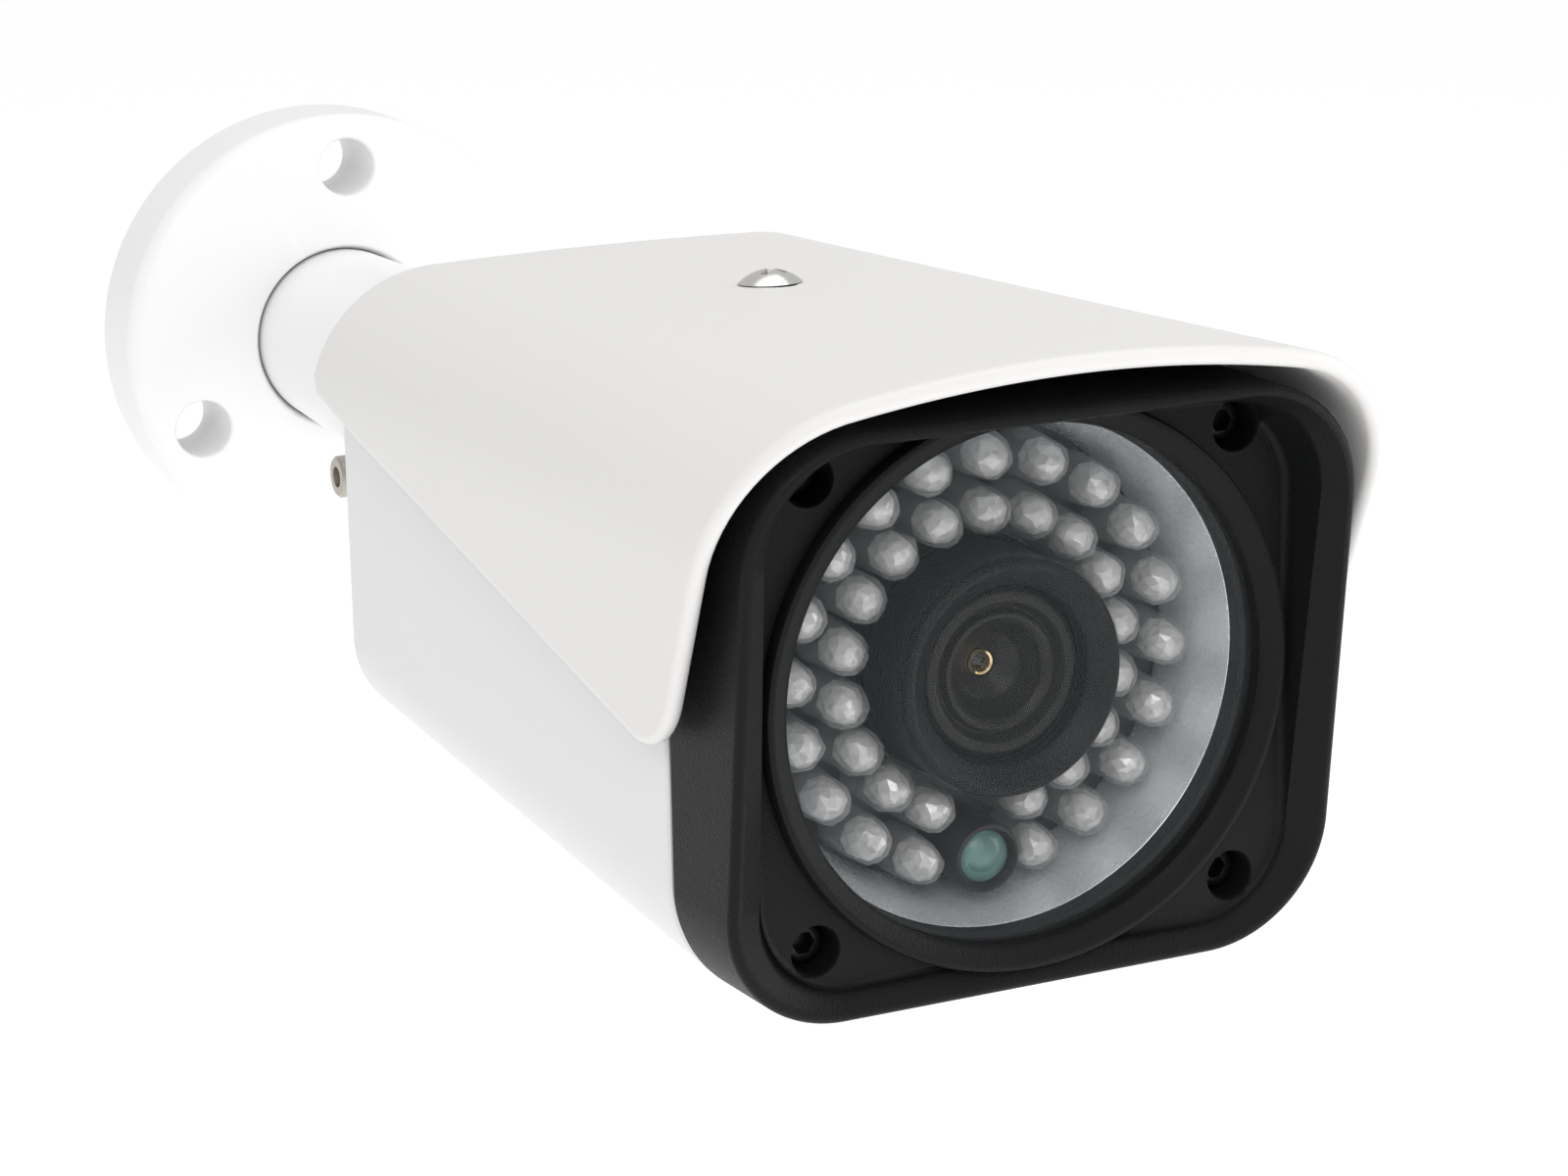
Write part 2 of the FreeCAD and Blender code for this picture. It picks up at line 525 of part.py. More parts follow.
def rear_cap():
    """The lid in the housing's rear end, with the tail that the stud enters."""
    back = "housing_back + cap_inset"
    body = new_body("rear_cap")
    shrink = "-(housing_wall + seat_gap)"
    loft(body, [shell_section(body, back, shrink), shell_section(body, f"{back} + cap_thick", shrink)])
    revolve(body, [
        (f"{back} + cap_thick", "0"), ("tail_back", "0"), ("tail_back", "tail_back_radius"),
        ("tail_front", "tail_front_radius"), (f"{back} + cap_thick", "tail_front_radius"),
    ])
    revolve(body, [
        ("tail_back - 1", "0"), ("tail_back - 1", "stud_radius + running_gap"),
        ("stud_end + 1", "stud_radius + running_gap"), ("stud_end + 1", "0"),
    ], groove=True)
    revolve(body, [
        ("stud_end + cap_thick", "0"), ("stud_end + cap_thick", "tail_back_radius - 1"),
        (f"{back} + cap_thick + 1", "tail_front_radius - tail_wall"), (f"{back} + cap_thick + 1", "0"),
    ], groove=True)
    holes = sketch_on(body, "XZ_Plane", f"{back} + cap_thick")
    for x, z in corners_of("2 * cap_screw_x", "2 * cap_screw_z"):
        circle(holes, x, z, "cap_screw_radius + seat_gap")
    circle(holes, "gland_x", "0", "gland_radius")
    pocket(body, holes, "cap_thick + 1")

    gasket_out = f"{back} + cap_thick"
    gasket = new_body("rear_cap_gasket")
    loft(gasket, [shell_section(gasket, gasket_out, shrink),
                  shell_section(gasket, f"{gasket_out} + cap_gasket_thick", shrink)])
    loft(gasket, [shell_section(gasket, f"{gasket_out} - 0.1", "-(housing_wall + 2.2)"),
                  shell_section(gasket, f"{gasket_out} + cap_gasket_thick + 0.1", "-(housing_wall + 2.2)")],
         subtract=True)

    seat = back
    keep(gather(*[rear_screw(x, z, seat, "cap_screw_radius", "cap_thick + cap_gasket_thick + pilot_depth - 1",
                             "cap_screw_radius * 1.7", "cap_inset * 2.4")
                  for x, z in corners_of("2 * cap_screw_x", "2 * cap_screw_z")]), "rear_cap_screws")
    keep(cut(
        fuse(rod("gland_radius - 0.02", "cap_thick", x="gland_x", out=back, z=0),
             taper("gland_bore + 0.8", "gland_radius + 1.4", "4", x="gland_x", out=f"{back} - 4", z=0),
             rod("gland_radius + 1", "1.2", x="gland_x", out=f"{back} + cap_thick", z=0)),
        rod("gland_bore", "cap_thick + 8", x="gland_x", out=f"{back} - 5", z=0),
    ), "cable_gland")


def housing():
    """A tapered rounded box, open at both ends, with screw bosses and rests for the light board."""
    body = new_body("housing")
    gasket = "housing_back + cap_inset + cap_thick + cap_gasket_thick"
    loft(body, [shell_section(body, "housing_back"), shell_section(body, "housing_front")])
    loft(body, [shell_section(body, "housing_back", "-housing_wall"),
                shell_section(body, "housing_front", "-housing_wall")], subtract=True)

    front_bosses = sketch_on(body, "XZ_Plane", "housing_front - face_boss_length")
    for x, z in corners_of("face_screw_pitch", "face_screw_pitch"):
        circle(front_bosses, x, z, "face_boss_radius")
        if z.startswith("-1"):
            ribs = sketch_on(body, "XZ_Plane", "housing_front - face_boss_length")
            floor = "-(front_low - housing_wall * 0.9)"
            polygon(ribs, [(f"{x} - face_boss_radius / 2", z), (f"{x} - face_boss_radius / 2", floor),
                           (f"{x} + face_boss_radius / 2", floor), (f"{x} + face_boss_radius / 2", z)])
            pad(body, ribs, "face_boss_length")
    pad(body, front_bosses, "face_boss_length")

    rear_bosses = sketch_on(body, "XZ_Plane", gasket)
    for x, z in corners_of("2 * cap_screw_x", "2 * cap_screw_z"):
        side = -1 if x.startswith("-1") else 1
        wall = f"{side} * (back_half_width - housing_wall / 2)"
        rib = [(x, f"{z} - cap_boss_radius / 2"), (wall, f"{z} - cap_boss_radius / 2"),
               (wall, f"{z} + cap_boss_radius / 2"), (x, f"{z} + cap_boss_radius / 2")]
        ribs = sketch_on(body, "XZ_Plane", gasket)
        polygon(ribs, rib)
        pad(body, ribs, "cap_boss_length")
        circle(rear_bosses, x, z, "cap_boss_radius")
    pad(body, rear_bosses, "cap_boss_length")

    for side in (-1, 1):
        rest = sketch_on(body, "XZ_Plane", "led_board_front - led_board_thick - rest_length")
        near, far = f"{side} * rest_reach", f"{side} * (back_half_width - housing_wall / 2)"
        polygon(rest, [(near, "-rest_width / 2"), (far, "-rest_width / 2"), (far, "rest_width / 2"),
                       (near, "rest_width / 2")])
        pad(body, rest, "rest_length")

    pilots = sketch_on(body, "XZ_Plane", "housing_front")
    for x, z in corners_of("face_screw_pitch", "face_screw_pitch"):
        circle(pilots, x, z, "face_screw_radius + seat_gap")
    pocket(body, pilots, "pilot_depth + 1")
    rear_pilots = sketch_on(body, "XZ_Plane", gasket)
    for x, z in corners_of("2 * cap_screw_x", "2 * cap_screw_z"):
        circle(rear_pilots, x, z, "cap_screw_radius + seat_gap")
    pocket(body, rear_pilots, "pilot_depth + 1", outward=True)

    pieces.remove(body)
    body.Label = "housing_blank"
    boss = on_hood_axis("Part::Cylinder", f"{HOOD_TO_ROOF} - insert_length - insert_floor",
                        Radius="insert_radius + insert_boss_wall", Height="insert_length + insert_floor - housing_wall / 2")
    hole = on_hood_axis("Part::Cylinder", f"{HOOD_TO_ROOF} - insert_length", Radius="insert_radius + running_gap",
                        Height="insert_length + 2")
    keep(cut(fuse(body, boss), hole), "housing")


# ---------------------------------------------------------------- front bezel and window

def front_bezel():
    """The black front: a slanted raised rim round a recessed face with a round ridge."""
    body = new_body("front_bezel")
    back = "housing_front + face_gasket_thick"
    rim = sketch_on(body, "XZ_Plane", "rim_stock_out")
    rounded_box(rim, "rim_half_width", "-rim_low", "rim_top", "rim_corner")
    foot = sketch_on(body, "XZ_Plane", back)
    rounded_box(foot, "front_half_width", "-front_low", "front_top", "front_corner")
    loft(body, [foot, rim])
    tall = "rim_top + 20"
    side_pocket(body, [
        (f"rim_out + rim_slant * ({tall})", tall), ("rim_stock_out + 20", tall),
        ("rim_stock_out + 20", f"-({tall})"), (f"rim_out - rim_slant * ({tall})", f"-({tall})"),
    ])
    floor = sketch_on(body, "XZ_Plane", "face_out")
    rounded_box(floor, "recess_half_width", "-recess_low", "recess_top", "recess_corner")
    widen = "recess_draft * (rim_stock_out - face_out)"
    mouth = sketch_on(body, "XZ_Plane", "rim_stock_out")
    rounded_box(mouth, f"recess_half_width + {widen}", f"-recess_low - {widen}", f"recess_top + {widen}",
                f"recess_corner + {widen}")
    loft(body, [floor, mouth], subtract=True)
    top = "face_out + ridge_height"
    sunk = "face_out - 0.6"              # the ridge starts a little inside the face, so they join
    revolve(body, [
        (sunk, "window_radius"), (f"{top} - ridge_dish", "window_radius"), (top, "ridge_radius"),
        (f"{top} - ridge_dish / 2", "ridge_foot"), (sunk, "ridge_foot"),
    ])
    revolve(body, [
        (f"{back} - 1", "0"), (f"{back} - 1", "glass_radius + seat_gap"), ("glass_front", "glass_radius + seat_gap"),
        ("glass_front", "window_radius"), (f"{top} + 2", "window_radius"), (f"{top} + 2", "0"),
    ], groove=True)
    holes = sketch_on(body, "XZ_Plane", "rim_stock_out")
    sinks = sketch_on(body, "XZ_Plane", "rim_stock_out")
    for x, z in corners_of("face_screw_pitch", "face_screw_pitch"):
        circle(holes, x, z, "face_screw_radius + seat_gap")
        circle(sinks, x, z, "face_hole_radius")
    pocket(body, holes, f"rim_stock_out - ({back}) + 1")
    pocket(body, sinks, "rim_stock_out - face_out + face_hole_depth")


def bezel_fixings():
    """The gasket behind the bezel and the four screws in its corners."""
    body = new_body("bezel_gasket")
    thick = "face_gasket_thick - 2 * running_gap"
    start = "housing_front + running_gap"
    outline = sketch_on(body, "XZ_Plane", start)
    rounded_box(outline, "front_half_width - 0.7", "-front_low + 0.7", "front_top - 0.7", "front_corner - 0.7")
    pad(body, outline, thick)
    inside = sketch_on(body, "XZ_Plane", f"{start} + {thick}")
    circle(inside, "0", "0", "glass_radius + seat_gap")
    for x, z in corners_of("face_screw_pitch", "face_screw_pitch"):
        circle(inside, x, z, "face_screw_radius + seat_gap")
    pocket(body, inside, f"{thick} + 1")
    keep(gather(*[socket_screw(x, z, "face_out - face_hole_depth", "face_screw_radius", "face_screw_length",
                               "face_head_radius", "face_head_height")
                  for x, z in corners_of("face_screw_pitch", "face_screw_pitch")]), "bezel_screws")


def window():
    """Clear glass, the black seal behind it and the pale reflector cone behind that."""
    glass_back = "glass_front - glass_thick"
    seal_back = f"{glass_back} - seal_thick"
    keep(rod("glass_radius", "glass_thick - running_gap", out=glass_back), "window_glass")
    keep(cut(rod("glass_radius", "seal_thick - running_gap", out=seal_back),
             rod("glass_radius - seal_width", "seal_thick", out=seal_back)), "window_seal")
    foot = "outer_ring_radius + led_flange_radius + loose_gap"
    start = "led_board_front + running_gap"
    front = f"{seal_back} - running_gap"
    turned_body("reflector_ring", [
        (start, foot), (front, "glass_radius - seal_width"), (front, "glass_radius"),
        ("housing_front + face_gasket_thick + 1.5", "glass_radius"), (start, f"{foot} + reflector_thick"),
    ])


# ---------------------------------------------------------------- lights, light sensor and lens

def light_board():
    body = new_body("led_board")
    outline = sketch_on(body, "XZ_Plane", "led_board_front - led_board_thick")
    circle(outline, "0", "0", "led_board_radius")
    circle(outline, "0", "0", "board_hole_radius")
    pad(body, outline, "led_board_thick")


def led(x, z):
    """A clear domed light: a flange on the board, a straight body and a round top."""
    start = "led_board_front + running_gap"
    return fuse(
        rod("led_flange_radius", "led_flange_thick", x=x, out=start, z=z),
        rod("led_radius", f"led_height - led_radius - 0.1", x=x, out=start, z=z),
        ball("led_radius", x=x, out="led_board_front + led_height - led_radius", z=z),
    )


def led_ring(label, places, radius):
    """Lights evenly round a ring, with the lowest place left for the light sensor."""
    spots = []
    for step in range(places):
        if 2 * step == places:
            continue
        turn = f"({90 - step * 360 / places} - ring_turn) * 1 deg"
        spots.append(led(f"{radius} * cos({turn})", f"{radius} * sin({turn})"))
    keep(gather(*spots), label)


def light_sensor():
    start = "led_board_front + running_gap"
    height = "eye_collar_height"
    place = {"x": "-eye_ring_radius * sin(ring_turn * 1 deg)", "z": "-eye_ring_radius * cos(ring_turn * 1 deg)"}
    keep(cut(rod("eye_collar_radius", height, out=start, **place),
             rod("eye_radius + running_gap", height, out=f"{start} + 1.5", **place)), "sensor_eye_collar")
    dome = "(eye_radius * eye_radius + eye_dome * eye_dome) / (2 * eye_dome)"
    face = f"{start} + {height} - 1"
    cap = doc.addObject("Part::Common", "Dome")
    cap.Base = rod("eye_radius", height, out=f"{start} + 1.6", **place)
    cap.Tool = ball(dome, out=f"{face} + eye_dome - {dome}", **place)
    keep(cap, "sensor_eye")


def lens():
    """A rubber shroud round a barrel whose dished front holds a tiny front glass."""
    start = "led_board_front + running_gap"
    turned_body("lens_shroud", [
        (start, "board_hole_radius + 0.6"), (start, "shroud_radius + 0.2"),
        ("shroud_front - shroud_round", "shroud_radius"),
        ("shroud_front - shroud_round * 0.3", "shroud_radius - shroud_round * 0.3"),
        ("shroud_front", "shroud_radius - shroud_round * 0.7"),
        ("shroud_front - shroud_slope", "shroud_bore"), ("shroud_front - 3.6", "shroud_bore"),
        ("shroud_front - 4.6", "board_hole_radius + 0.6"),
    ])
    dish = "barrel_front - 0.9"
    bottom = f"{dish} - dish_depth"
    turned_body("lens_barrel", [
        ("barrel_back", "barrel_neck_radius - 1"), ("barrel_back", "barrel_neck_radius"),
        ("barrel_step", "barrel_neck_radius"), ("barrel_step", "barrel_radius - 0.4"),
        ("barrel_front - 0.4", "barrel_radius"), ("barrel_front", "barrel_radius - 0.4"),
        ("barrel_front", "dish_radius + 2.2"), (f"{dish} - 0.3", "dish_radius + 1.4"),
        (f"{dish} + 0.3", "dish_radius + 0.7"), (dish, "dish_radius"),
        (bottom, "pupil_rim + running_gap"), (f"{bottom} - 2", "pupil_rim + running_gap"),
        (f"{bottom} - 2", "barrel_neck_radius - 1"),
    ])
    keep(cut(rod("pupil_rim", "1.6", out=f"{bottom} - 1.5"), rod("pupil_radius", "1.6", out=f"{bottom} - 1.5")),
         "lens_pupil_ring")
    keep(rod("pupil_radius - 0.02", "1.1", out=f"{bottom} - 1.5"), "lens_front_glass")
    keep(gather(*[rod("barrel_neck_radius - 1.05", "1.5", out=f"barrel_back + {gap}") for gap in (1, 5)]),
         "lens_rear_glasses")
    base = "sensor_board_front + filter_frame_thick + 2 * running_gap"
    holder = fuse(block("holder_base", "holder_base_thick", "holder_base", out=base),
                  rod("holder_radius", f"holder_front - ({base})", out=base))
    keep(cut(holder, rod("barrel_neck_radius + running_gap", str(BEYOND), out=base)), "lens_holder")


# ---------------------------------------------------------------- filter, sensor and boards

def day_night_filter():
    """A frame over the image sensor with a slider that swaps two small filter glasses."""
    back = "sensor_board_front + running_gap"
    room = "slider_thick + 2 * loose_gap"
    room_out = f"{back} + filter_frame_thick - 1.2 - ({room})"
    slide_room = "slider_width + filter_travel + 2 * loose_gap"
    keep(cut(
        block("filter_frame_width", "filter_frame_thick", "filter_frame_tall", out=back),
        block(slide_room, room, "slider_tall + 2 * loose_gap", out=room_out),
        block("sensor_width + 1", "filter_frame_thick - 1.2", "sensor_tall + 1", out=f"{back} - 0.5"),
        rod("light_path_radius", "filter_frame_thick + 2", out=f"{back} - 1"),
    ), "filter_frame")
    slider_out = f"{room_out} + loose_gap"
    windows = [f"{side} * filter_travel / 2 + filter_travel / 2" for side in (-1, 1)]
    window_size = "filter_window + 2 * running_gap"
    keep(cut(block("slider_width", "slider_thick", "slider_tall", x="filter_travel / 2", out=slider_out),
             *[block(window_size, "slider_thick", window_size, x=x, out=slider_out) for x in windows]),
         "filter_slider")
    for x, label in zip(windows, ("infrared_cut_glass", "clear_filter_glass")):
        keep(block("filter_window", "filter_glass_thick", "filter_window", x=x,
                   out=f"{slider_out} + (slider_thick - filter_glass_thick) / 2"), label)
    keep(rod("2.4", "4", x="-filter_frame_width / 2 + 4.5", out=f"{back} + filter_frame_thick + running_gap",
             z="filter_frame_tall / 2 - 3"), "filter_coil")


def boards():
    keep(block("sensor_width", "sensor_thick", "sensor_tall", out="sensor_board_front + running_gap"),
         "image_sensor")
    for label, front, width, tall in (("sensor_board", "sensor_board_front", "sensor_board_width",
                                       "sensor_board_tall"),
                                      ("main_board", "main_board_front", "main_board_width", "main_board_tall")):
        screws = [rod("board_screw_radius + seat_gap", "2 * board_thick", x=x, out=f"{front} - 1.5 * board_thick", z=z)
                  for x, z in corners_of("pillar_pitch", "pillar_pitch")]
        keep(cut(block(width, "board_thick", tall, out=f"{front} - board_thick"), *screws), label)
    def pillar(x, z, start, end):
        return prism(6, "pillar_radius", f"{end} - ({start}) - 2 * running_gap", x=x,
                     out=f"{start} + running_gap", z=z)

    sensor_back = "sensor_board_front - board_thick"
    spots = corners_of("pillar_pitch", "pillar_pitch")
    keep(gather(*[fuse(pillar(x, z, "sensor_board_front", "led_board_front - led_board_thick"),
                       rod("board_screw_radius", "board_thick + pillar_stud", x=x,
                           out=f"{sensor_back} - pillar_stud + running_gap", z=z))
                  for x, z in spots]), "front_pillars")
    keep(gather(*[cut(pillar(x, z, "main_board_front", sensor_back),
                      rod("board_screw_radius + seat_gap", str(BEYOND), x=x, out="main_board_front - 1", z=z))
                  for x, z in spots]), "rear_pillars")
    keep(gather(*[rear_screw(x, z, "main_board_front - board_thick - running_gap", "board_screw_radius",
                             "board_thick + pillar_stud", "board_screw_head_radius", "board_screw_head_height")
                  for x, z in corners_of("pillar_pitch", "pillar_pitch")]), "board_screws")
    keep(block("chip_width", "chip_thick", "chip_width", out="main_board_front + running_gap"), "processor_chip")
    keep(block("socket_width", "socket_thick", "socket_tall", x=0,
               out="main_board_front - board_thick - socket_thick - running_gap", z="-main_board_tall / 4"),
         "lead_socket")


# ---------------------------------------------------------------- sunshield

def hood_section(body, out, depth):
    """The hood's section at "out", its skin "depth" inside the outer one."""
    sketch = sketch_on(body, "XZ_Plane", out)
    rounded_box(
        sketch,
        f"{along_shield('shield_back_half', 'shield_end_half', out)} - ({depth})",
        "-shield_skirt",
        f"{along_shield('shield_back_top', 'shield_end_top', out)} - ({depth})",
        f"shield_corner - ({depth})",
    )
    return sketch


def sunshield():
    """A bent hood over the top and sides, its lower edges falling towards the front."""
    body = new_body("sunshield")
    for depth, subtract in (("0", False), ("shield_wall", True)):
        reach = 1 if subtract else 0
        ends = (f"shield_back - {reach}", f"shield_stock_out + {reach}")
        loft(body, [hood_section(body, end, depth) for end in ends], subtract)

    low_front = "shield_low_back - shield_fall * ({out} - shield_back)"
    corner_out = ("(shield_front + shield_lean * (shield_low_back + shield_fall * shield_back))"
                  " / (1 + shield_lean * shield_fall)")
    corner_z = low_front.format(out=f"({corner_out})")
    start, stop, high = "shield_back - 4", "shield_stock_out + 40", "shield_end_top + 40"
    top_out = f"shield_front + shield_lean * ({high})"
    trim = sketch_on(body, "YZ_Plane")
    corner = Vector(value(corner_out), value(corner_z), 0)
    rear = Vector(value(start), value(low_front.format(out=start)), 0)
    top = Vector(value(top_out), value(high), 0)
    to_rear, to_top = (rear - corner).normalize(), (top - corner).normalize()
    half = to_rear.getAngle(to_top) / 2
    radius = value("shield_tip_round")
    middle = corner + (to_rear + to_top).normalize() * (radius / math.sin(half))
    touch_rear, touch_top = (corner + way * (radius / math.tan(half)) for way in (to_rear, to_top))
    lowest = math.atan2((touch_rear - middle).y, (touch_rear - middle).x)
    last = math.atan2((touch_top - middle).y, (touch_top - middle).x)
    tip = Part.ArcOfCircle(Part.Circle(middle, Vector(0, 0, 1), radius), lowest, last)
    spots = [Vector(value(x), value(y), 0) for x, y in ((stop, high), (stop, f"-({high})"), (start, f"-({high})"))]
    trim.addGeometry([Part.LineSegment(rear, touch_rear), tip, Part.LineSegment(touch_top, top),
                      Part.LineSegment(top, spots[0]), Part.LineSegment(spots[0], spots[1]),
                      Part.LineSegment(spots[1], spots[2]), Part.LineSegment(spots[2], rear)], False)
    trim.addConstraint([Sketcher.Constraint("Tangent", 0, 2, 1, 1), Sketcher.Constraint("Tangent", 1, 2, 2, 1)])
    trim.addConstraint([Sketcher.Constraint("Coincident", i, 2, (i + 1) % 7, 1) for i in range(2, 7)])
    constraint = trim.addConstraint(Sketcher.Constraint("Radius", 1, radius))
    trim.setExpression(f"Constraints[{constraint}]", bound("shield_tip_round"))
    point = trim.addGeometry(Part.Point(corner), True)
    fix_point(trim, point, 1, corner_out, corner_z)
    fix_point(trim, 0, 1, start, low_front.format(out=start))
    fix_point(trim, 3, 1, top_out, high)
    for line, (x, y) in ((4, (stop, high)), (5, (stop, f"-({high})")), (6, (start, f"-({high})"))):
        fix_point(trim, line, 1, x, y)
    for line in (0, 2):
        trim.addConstraint(Sketcher.Constraint("PointOnObject", point, 1, line))
    through_sides(body, trim)

    doc.recompute()
    pieces.remove(body)
    body.Label = "sunshield_blank"
    hole = on_hood_axis("Part::Cylinder", "-2 * shield_wall", Radius="shield_screw_radius + seat_gap",
                        Height="4 * shield_wall")
    keep(cut(body, hole), "sunshield")


def shield_fixings():
    """The domed cross-head screw on top, its rubber pad and the threaded insert it bites in."""
    head = "(shield_head_radius * shield_head_radius + shield_head_height * shield_head_height)"
    sphere = f"{head} / (2 * shield_head_height)"
    seat = "running_gap"
    dome = doc.addObject("Part::Common", "Dome")
    dome.Base = on_hood_axis("Part::Cylinder", seat, Radius="shield_head_radius", Height="shield_head_height + 1")
    dome.Tool = on_hood_axis("Part::Sphere", f"{seat} + shield_head_height - ({sphere})", Radius=sphere)
    shank = on_hood_axis("Part::Cylinder", f"{seat} - shield_screw_length + 0.01",
                         Radius="shield_screw_radius - 2 * seat_gap", Height="shield_screw_length")
    slots = []
    for turn in (45, 135):
        slot = doc.addObject("Part::Box", "CrossSlot")
        bind(slot, Length="shield_head_radius * 1.3", Width="shield_slot_width", Height="3")
        slot.Placement = Placement(Vector(0, 0, 0), SQUARE_TO_HOOD.multiply(Rotation(Vector(0, 0, 1), turn)))
        corner = slot.Placement.Rotation.multVec(
            Vector(-value("shield_head_radius * 0.65"), -value("shield_slot_width / 2"), 0))
        for axis, middle, shift in (("x", "0", corner.x), ("y", "-shield_screw_out", corner.y),
                                    ("z", f"{HOOD_CREST} + {seat} + shield_head_height - 1.0", corner.z)):
            slot.setExpression(f"Placement.Base.{axis}", bound(f"{middle} + ({shift})"))
        slots.append(slot)
    keep(cut(fuse(dome, shank), *slots), "sunshield_screw")

    # the roof slopes less than the hood, so the pad's square foot stays clear of it by this much
    wedge = f"shield_pad_radius * {abs(math.tan(HOOD_SLOPE - ROOF_SLOPE)):.6f} + running_gap"
    foot = f"{HOOD_TO_ROOF} + {wedge}"
    room = {"Radius": "shield_screw_radius + seat_gap", "Height": "shield_pad_radius + insert_length"}
    pad = on_hood_axis("Part::Cylinder", foot, Radius="shield_pad_radius", Height=f"-shield_wall - ({foot})")
    keep(cut(pad, on_hood_axis("Part::Cylinder", f"{foot} - 1", **room)), "sunshield_pad")
    insert_foot = f"{HOOD_TO_ROOF} - insert_length + running_gap"
    insert = on_hood_axis("Part::Cylinder", insert_foot, Radius="insert_radius", Height="insert_length - 1")
    keep(cut(insert, on_hood_axis("Part::Cylinder", f"{insert_foot} - 1", **room)), "sunshield_insert")


# ---------------------------------------------------------------- build, check and write

wall_plate()
swivel_lock()
bracket_arm()
clamp_screw()
ball_stud()
lock_nut()
rear_cap()
housing()
front_bezel()
bezel_fixings()
window()
light_board()
led_ring("led_ring_outer", OUTER_LEDS, "outer_ring_radius")
led_ring("led_ring_inner", INNER_LEDS, "inner_ring_radius")
light_sensor()
lens()
day_night_filter()
boards()
sunshield()
shield_fixings()

doc.recompute()
for thing in doc.Objects:
    if {"Invalid", "Error"} & set(thing.State):
        raise RuntimeError(f"{thing.Label} ({thing.Name}) failed: {thing.State}")
for piece in pieces:
    if piece.Shape.isNull() or not piece.Shape.isValid() or not piece.Shape.Solids:
        raise RuntimeError(f"{piece.Label} has no valid shape")
os.makedirs("parts", exist_ok=True)
for piece in pieces:
    piece.Shape.exportStep(f"parts/{piece.Label}.step")
    print(f"{piece.Label:22s} {len(piece.Shape.Solids):3d} solids {piece.Shape.Volume:10.1f} mm3")
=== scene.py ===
"""The looks of a wall-mounted bullet security camera, built round its CAD frame.

Lengths are in millimetres until a mesh is made. "out" is the distance from the wall along -Y,
so a place is (x, out, z), and the lens looks outwards.
"""
import json
import math
import random

import bmesh
import bpy
from mathutils import Matrix, Vector


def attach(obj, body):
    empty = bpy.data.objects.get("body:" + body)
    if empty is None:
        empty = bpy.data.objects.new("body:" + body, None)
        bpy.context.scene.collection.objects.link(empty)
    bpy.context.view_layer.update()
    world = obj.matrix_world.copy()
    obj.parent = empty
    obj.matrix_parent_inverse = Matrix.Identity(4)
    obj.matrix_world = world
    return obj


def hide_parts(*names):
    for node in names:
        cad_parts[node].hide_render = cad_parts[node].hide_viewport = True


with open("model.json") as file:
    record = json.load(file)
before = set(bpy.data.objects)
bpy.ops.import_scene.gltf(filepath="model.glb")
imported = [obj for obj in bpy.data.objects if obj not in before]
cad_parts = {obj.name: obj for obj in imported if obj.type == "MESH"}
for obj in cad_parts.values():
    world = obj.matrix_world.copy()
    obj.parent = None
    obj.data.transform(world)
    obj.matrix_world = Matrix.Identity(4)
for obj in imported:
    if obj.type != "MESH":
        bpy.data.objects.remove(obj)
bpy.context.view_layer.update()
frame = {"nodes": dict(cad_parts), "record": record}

MM = 0.001
TURN = 2 * math.pi
SHARP_ANGLE = math.radians(32)          # edges that turn more than this stay crisp
ROUND_STEPS = 144                       # sides of a large turned piece
SMALL_STEPS = 48                        # sides of a small turned piece


# ---------------------------------------------------------------- places read from the frame

class Extent:
    """Where a CAD node lies, or the part of it at one distance from the wall."""

    def __init__(self, node, out=None):
        spots = [v.co / MM for v in frame["nodes"][node].data.vertices]
        if out is not None:
            spots = [p for p in spots if abs(-p.y - out) < 0.02]
        self.left, self.right = min(p.x for p in spots), max(p.x for p in spots)
        self.back, self.front = min(-p.y for p in spots), max(-p.y for p in spots)
        self.low, self.top = min(p.z for p in spots), max(p.z for p in spots)
        self.middle = Vector(((self.left + self.right) / 2, 0, (self.low + self.top) / 2))


PLATE = Extent("wall_plate")
ARM = Extent("bracket_arm")
STUD = Extent("ball_stud")
LOCK_NUT = Extent("neck_lock_nut")
HOUSING = Extent("housing")
HOUSING_BACK = Extent("housing", HOUSING.back)
HOUSING_FRONT = Extent("housing", HOUSING.front)
CAP = Extent("rear_cap")
BEZEL = Extent("front_bezel")
GLASS = Extent("window_glass")
SEAL = Extent("window_seal")
REFLECTOR = Extent("reflector_ring")
LIGHT_BOARD = Extent("led_board")
SHROUD = Extent("lens_shroud")
BARREL = Extent("lens_barrel")
HOOD = Extent("sunshield")
WALL_HOLES = next(m for m in frame["record"]["mounts"] if m["kind"] == "bolt_pattern")["dims"]


# ---------------------------------------------------------------- meshes

def turned_y(x=0, z=0):
    """Maps (distance, radius, angle) to a place turned about a line along -Y."""
    return lambda d, r, a: Vector((x + r * math.cos(a), -d, z + r * math.sin(a)))


def turned_x(out, z):
    return lambda d, r, a: Vector((d, -out + r * math.cos(a), z + r * math.sin(a)))


def turned_up(x, out, tilt=0):
    """Turned about a nearly upright line that leans by "tilt" towards the wall."""
    lean = Matrix.Rotation(-tilt, 3, "X")
    return lambda d, r, a: Vector((x, -out, 0)) + lean @ Vector((r * math.cos(a), r * math.sin(a), d))


